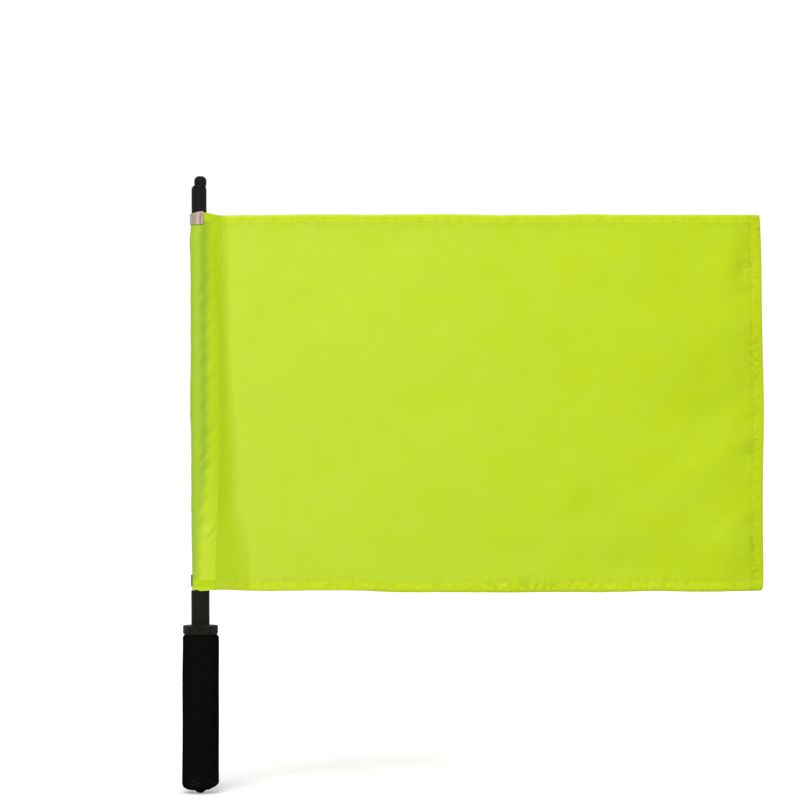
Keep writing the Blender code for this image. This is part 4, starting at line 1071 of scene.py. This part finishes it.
stitch = {"pitch": 2.6, "radius": 0.17, "rise": 0.13, "sink": 0.3, "seamStep": 0.4, "stepsEach": 8,
          "sides": 6, "holeReach": 0.32, "pinch": 0.25, "pinchReach": 0.3, "flatness": 0.85}


# a thread along a path on the cloth: the height over the cloth is rise less sink times a bell
# round each needle hole, and the thread is an oval tube round that line, thinner at the holes
def threadTube(path, outward):
    way = wayAlong(path)
    count = round(way[-1] / stitch["pitch"])
    s = np.linspace(0, way[-1], count * stitch["stepsEach"] + 1)
    centre, out = (np.stack([np.interp(s, way, line[:, k]) for k in range(3)], 1) for line in (path, outward))
    out = unit(out)
    hole = np.abs((s / way[-1] * count + 0.5) % 1 - 0.5) * way[-1] / count
    rise = stitch["rise"] - stitch["sink"] * bell(hole, 0, stitch["holeReach"])
    centre = centre + out * rise[:, None]
    along = unit(np.gradient(centre, axis=0))
    across = unit(np.cross(along, out))
    up = np.cross(across, along)
    radius = stitch["radius"] * (1 - stitch["pinch"] * bell(hole, 0, stitch["pinchReach"]))[:, None, None]
    angles = evenAngles(stitch["sides"])[None, :, None]
    ring = np.cos(angles) * across[:, None] + stitch["flatness"] * np.sin(angles) * up[:, None]
    return closedRows(capped(centre[:, None] + radius * ring))


# each line is a strip three points wide on the panel, whose middle the needle and bobbin threads
# follow in front and behind: along x for the level hems, up z for the fly hem and the seam
def makeStitches():
    inset = cloth["stitchInset"]
    beside = np.array([[-0.3, 0, 0.3]])
    lines = {}
    for name, height in (("bottom_hem", cloth["bottomHem"] - inset),
                         ("top_hem", clothTall - cloth["topHem"] + inset)):
        share = (height + beside.T) / clothTall
        start = seamX(share) + 2.5
        x = start + (flyX(share) - cloth["flyHem"] + 1.0 - start) * np.linspace(0, 1, 900)[None, :]
        lines[name] = (panelPoints(x, share), cloth["hemStep"], False)
    share = np.linspace(cloth["bottomHem"] - 1, clothTall - cloth["topHem"] + 1, 700)[:, None] / clothTall
    x = flyX(share) - cloth["flyHem"] + inset + beside
    lines["fly_hem"] = (panelPoints(x, share), cloth["hemStep"], True)
    lines["sleeve_seam"] = (panelPoints(seamX(share) + 0.9 + beside, share), stitch["seamStep"], True)
    half = cloth["thickness"] / 2
    made = []
    for name, (strip, step, upright) in lines.items():
        normal = gridNormals(strip)
        normal = normal * -np.sign(normal[..., 1:2])
        path, out = (strip[:, 1], normal[:, 1]) if upright else (strip[1], normal[1])
        for side, sign, away in (("needle", 1, half), ("bobbin", -1, half + step)):
            points, faces = threadTube(path + sign * away * out, sign * out)
            node = name + "_" + side + "_thread"
            label = name.replace("_hem", "Hem").replace("_seam", "Seam") + side.capitalize() + "Stitches"
            made.append(makePiece(label, points, faces, threadFinish, "pole", node, sharp=80))
    return made


stitches = makeStitches()
print("stitches made")

# Spring clips: a band of rounded section carried along an open circle with flared lips

clips = {"height": 9.8, "wall": 0.45, "wrap": math.radians(200), "lip": 0.7, "flare": math.radians(50),
         "edge": 0.2, "bend": 0.5, "thinned": 0.8, "corner": 1.0, "drawnIn": 0.09}


# a clip: the strap's section carried along the path that its heading draws, tilted about y and
# taller to the right by the taper
def makeClip(name, node, start, tilt, taper, rise):
    low, high = boxMm(node)
    middleZ = (low[2] + high[2]) / 2 + rise
    radius = -boxMm("upper_clip")[0][0] - clips["wall"] / 2
    length = radius * clips["wrap"]
    lip, bend = clips["lip"], clips["bend"]
    s = np.concatenate([np.linspace(-lip, 0, 10)[:-1], np.linspace(0, length, 90),
                        np.linspace(length, length + lip, 10)[1:]])
    flare = clips["flare"] * (smooth(s, length, length + bend) - (1 - smooth(s, -bend, 0)))
    heading = start - math.pi / 2 - np.clip(s, 0, length) / radius + flare
    between = (heading[1:] + heading[:-1]) / 2
    step = np.diff(s)[:, None] * np.stack([np.cos(between), np.sin(between)], 1)
    path = np.vstack([[0, 0], np.cumsum(step, axis=0)])
    path = path - path[np.argmin(np.abs(s))] + radius * np.array([math.cos(start), math.sin(start)])
    normal = np.stack([-np.sin(heading), np.cos(heading)], 1)
    wide, tall, edge = clips["wall"] / 2, clips["height"] / 2, clips["edge"]
    corners = [(-wide, -tall, edge), (wide, -tall, edge), (wide, tall, edge), (-wide, tall, edge)]
    section = roundedLine(corners, steps=4, hold=0.15, closed=True)
    shrink = np.ones(len(s))
    shrink[[0, -1]] = clips["thinned"]
    flat = path[:, None] + normal[:, None] * (section[None, :, 0] * shrink[:, None])[..., None]

    # the strap's corners are rounded by drawing its height in at both ends
    ends = np.minimum(s - s[0], s[-1] - s)
    arc = np.sqrt(np.clip(1 - (1 - ends / clips["corner"]) ** 2, 0, 1))
    narrow = np.where(ends < clips["corner"], 1 - clips["drawnIn"] * (1 - arc), 1)
    z = middleZ + section[None, :, 1] * narrow[:, None] * (1 + taper * flat[..., 0])
    z = z + math.tan(tilt) * flat[..., 0]
    points, faces = closedRows(capped(np.dstack([flat, z])))
    return makePiece(name, points, faces, nickelFinish, "pole", node, sharp=50)


makeClip("upperSpringClip", "upper_clip", math.radians(-65), math.radians(8), 0.014, 0.45)
makeClip("lowerSpringClip", "lower_clip", math.radians(190), 0.0, 0.0, 0.0)
print("clips made")

# CAD pieces that keep their shape and get their real finish
for node, finish in (("core_plug", handlePlastic), ("upper_bush", bushFinish), ("lower_bush", bushFinish),
                     ("thrust_washer", steelFinish), ("retaining_washer", steelFinish),
                     ("retaining_screw", steelFinish)):
    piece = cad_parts[node]
    piece.data.materials.clear()
    piece.data.materials.append(finish[0])
print("hidden pieces finished")
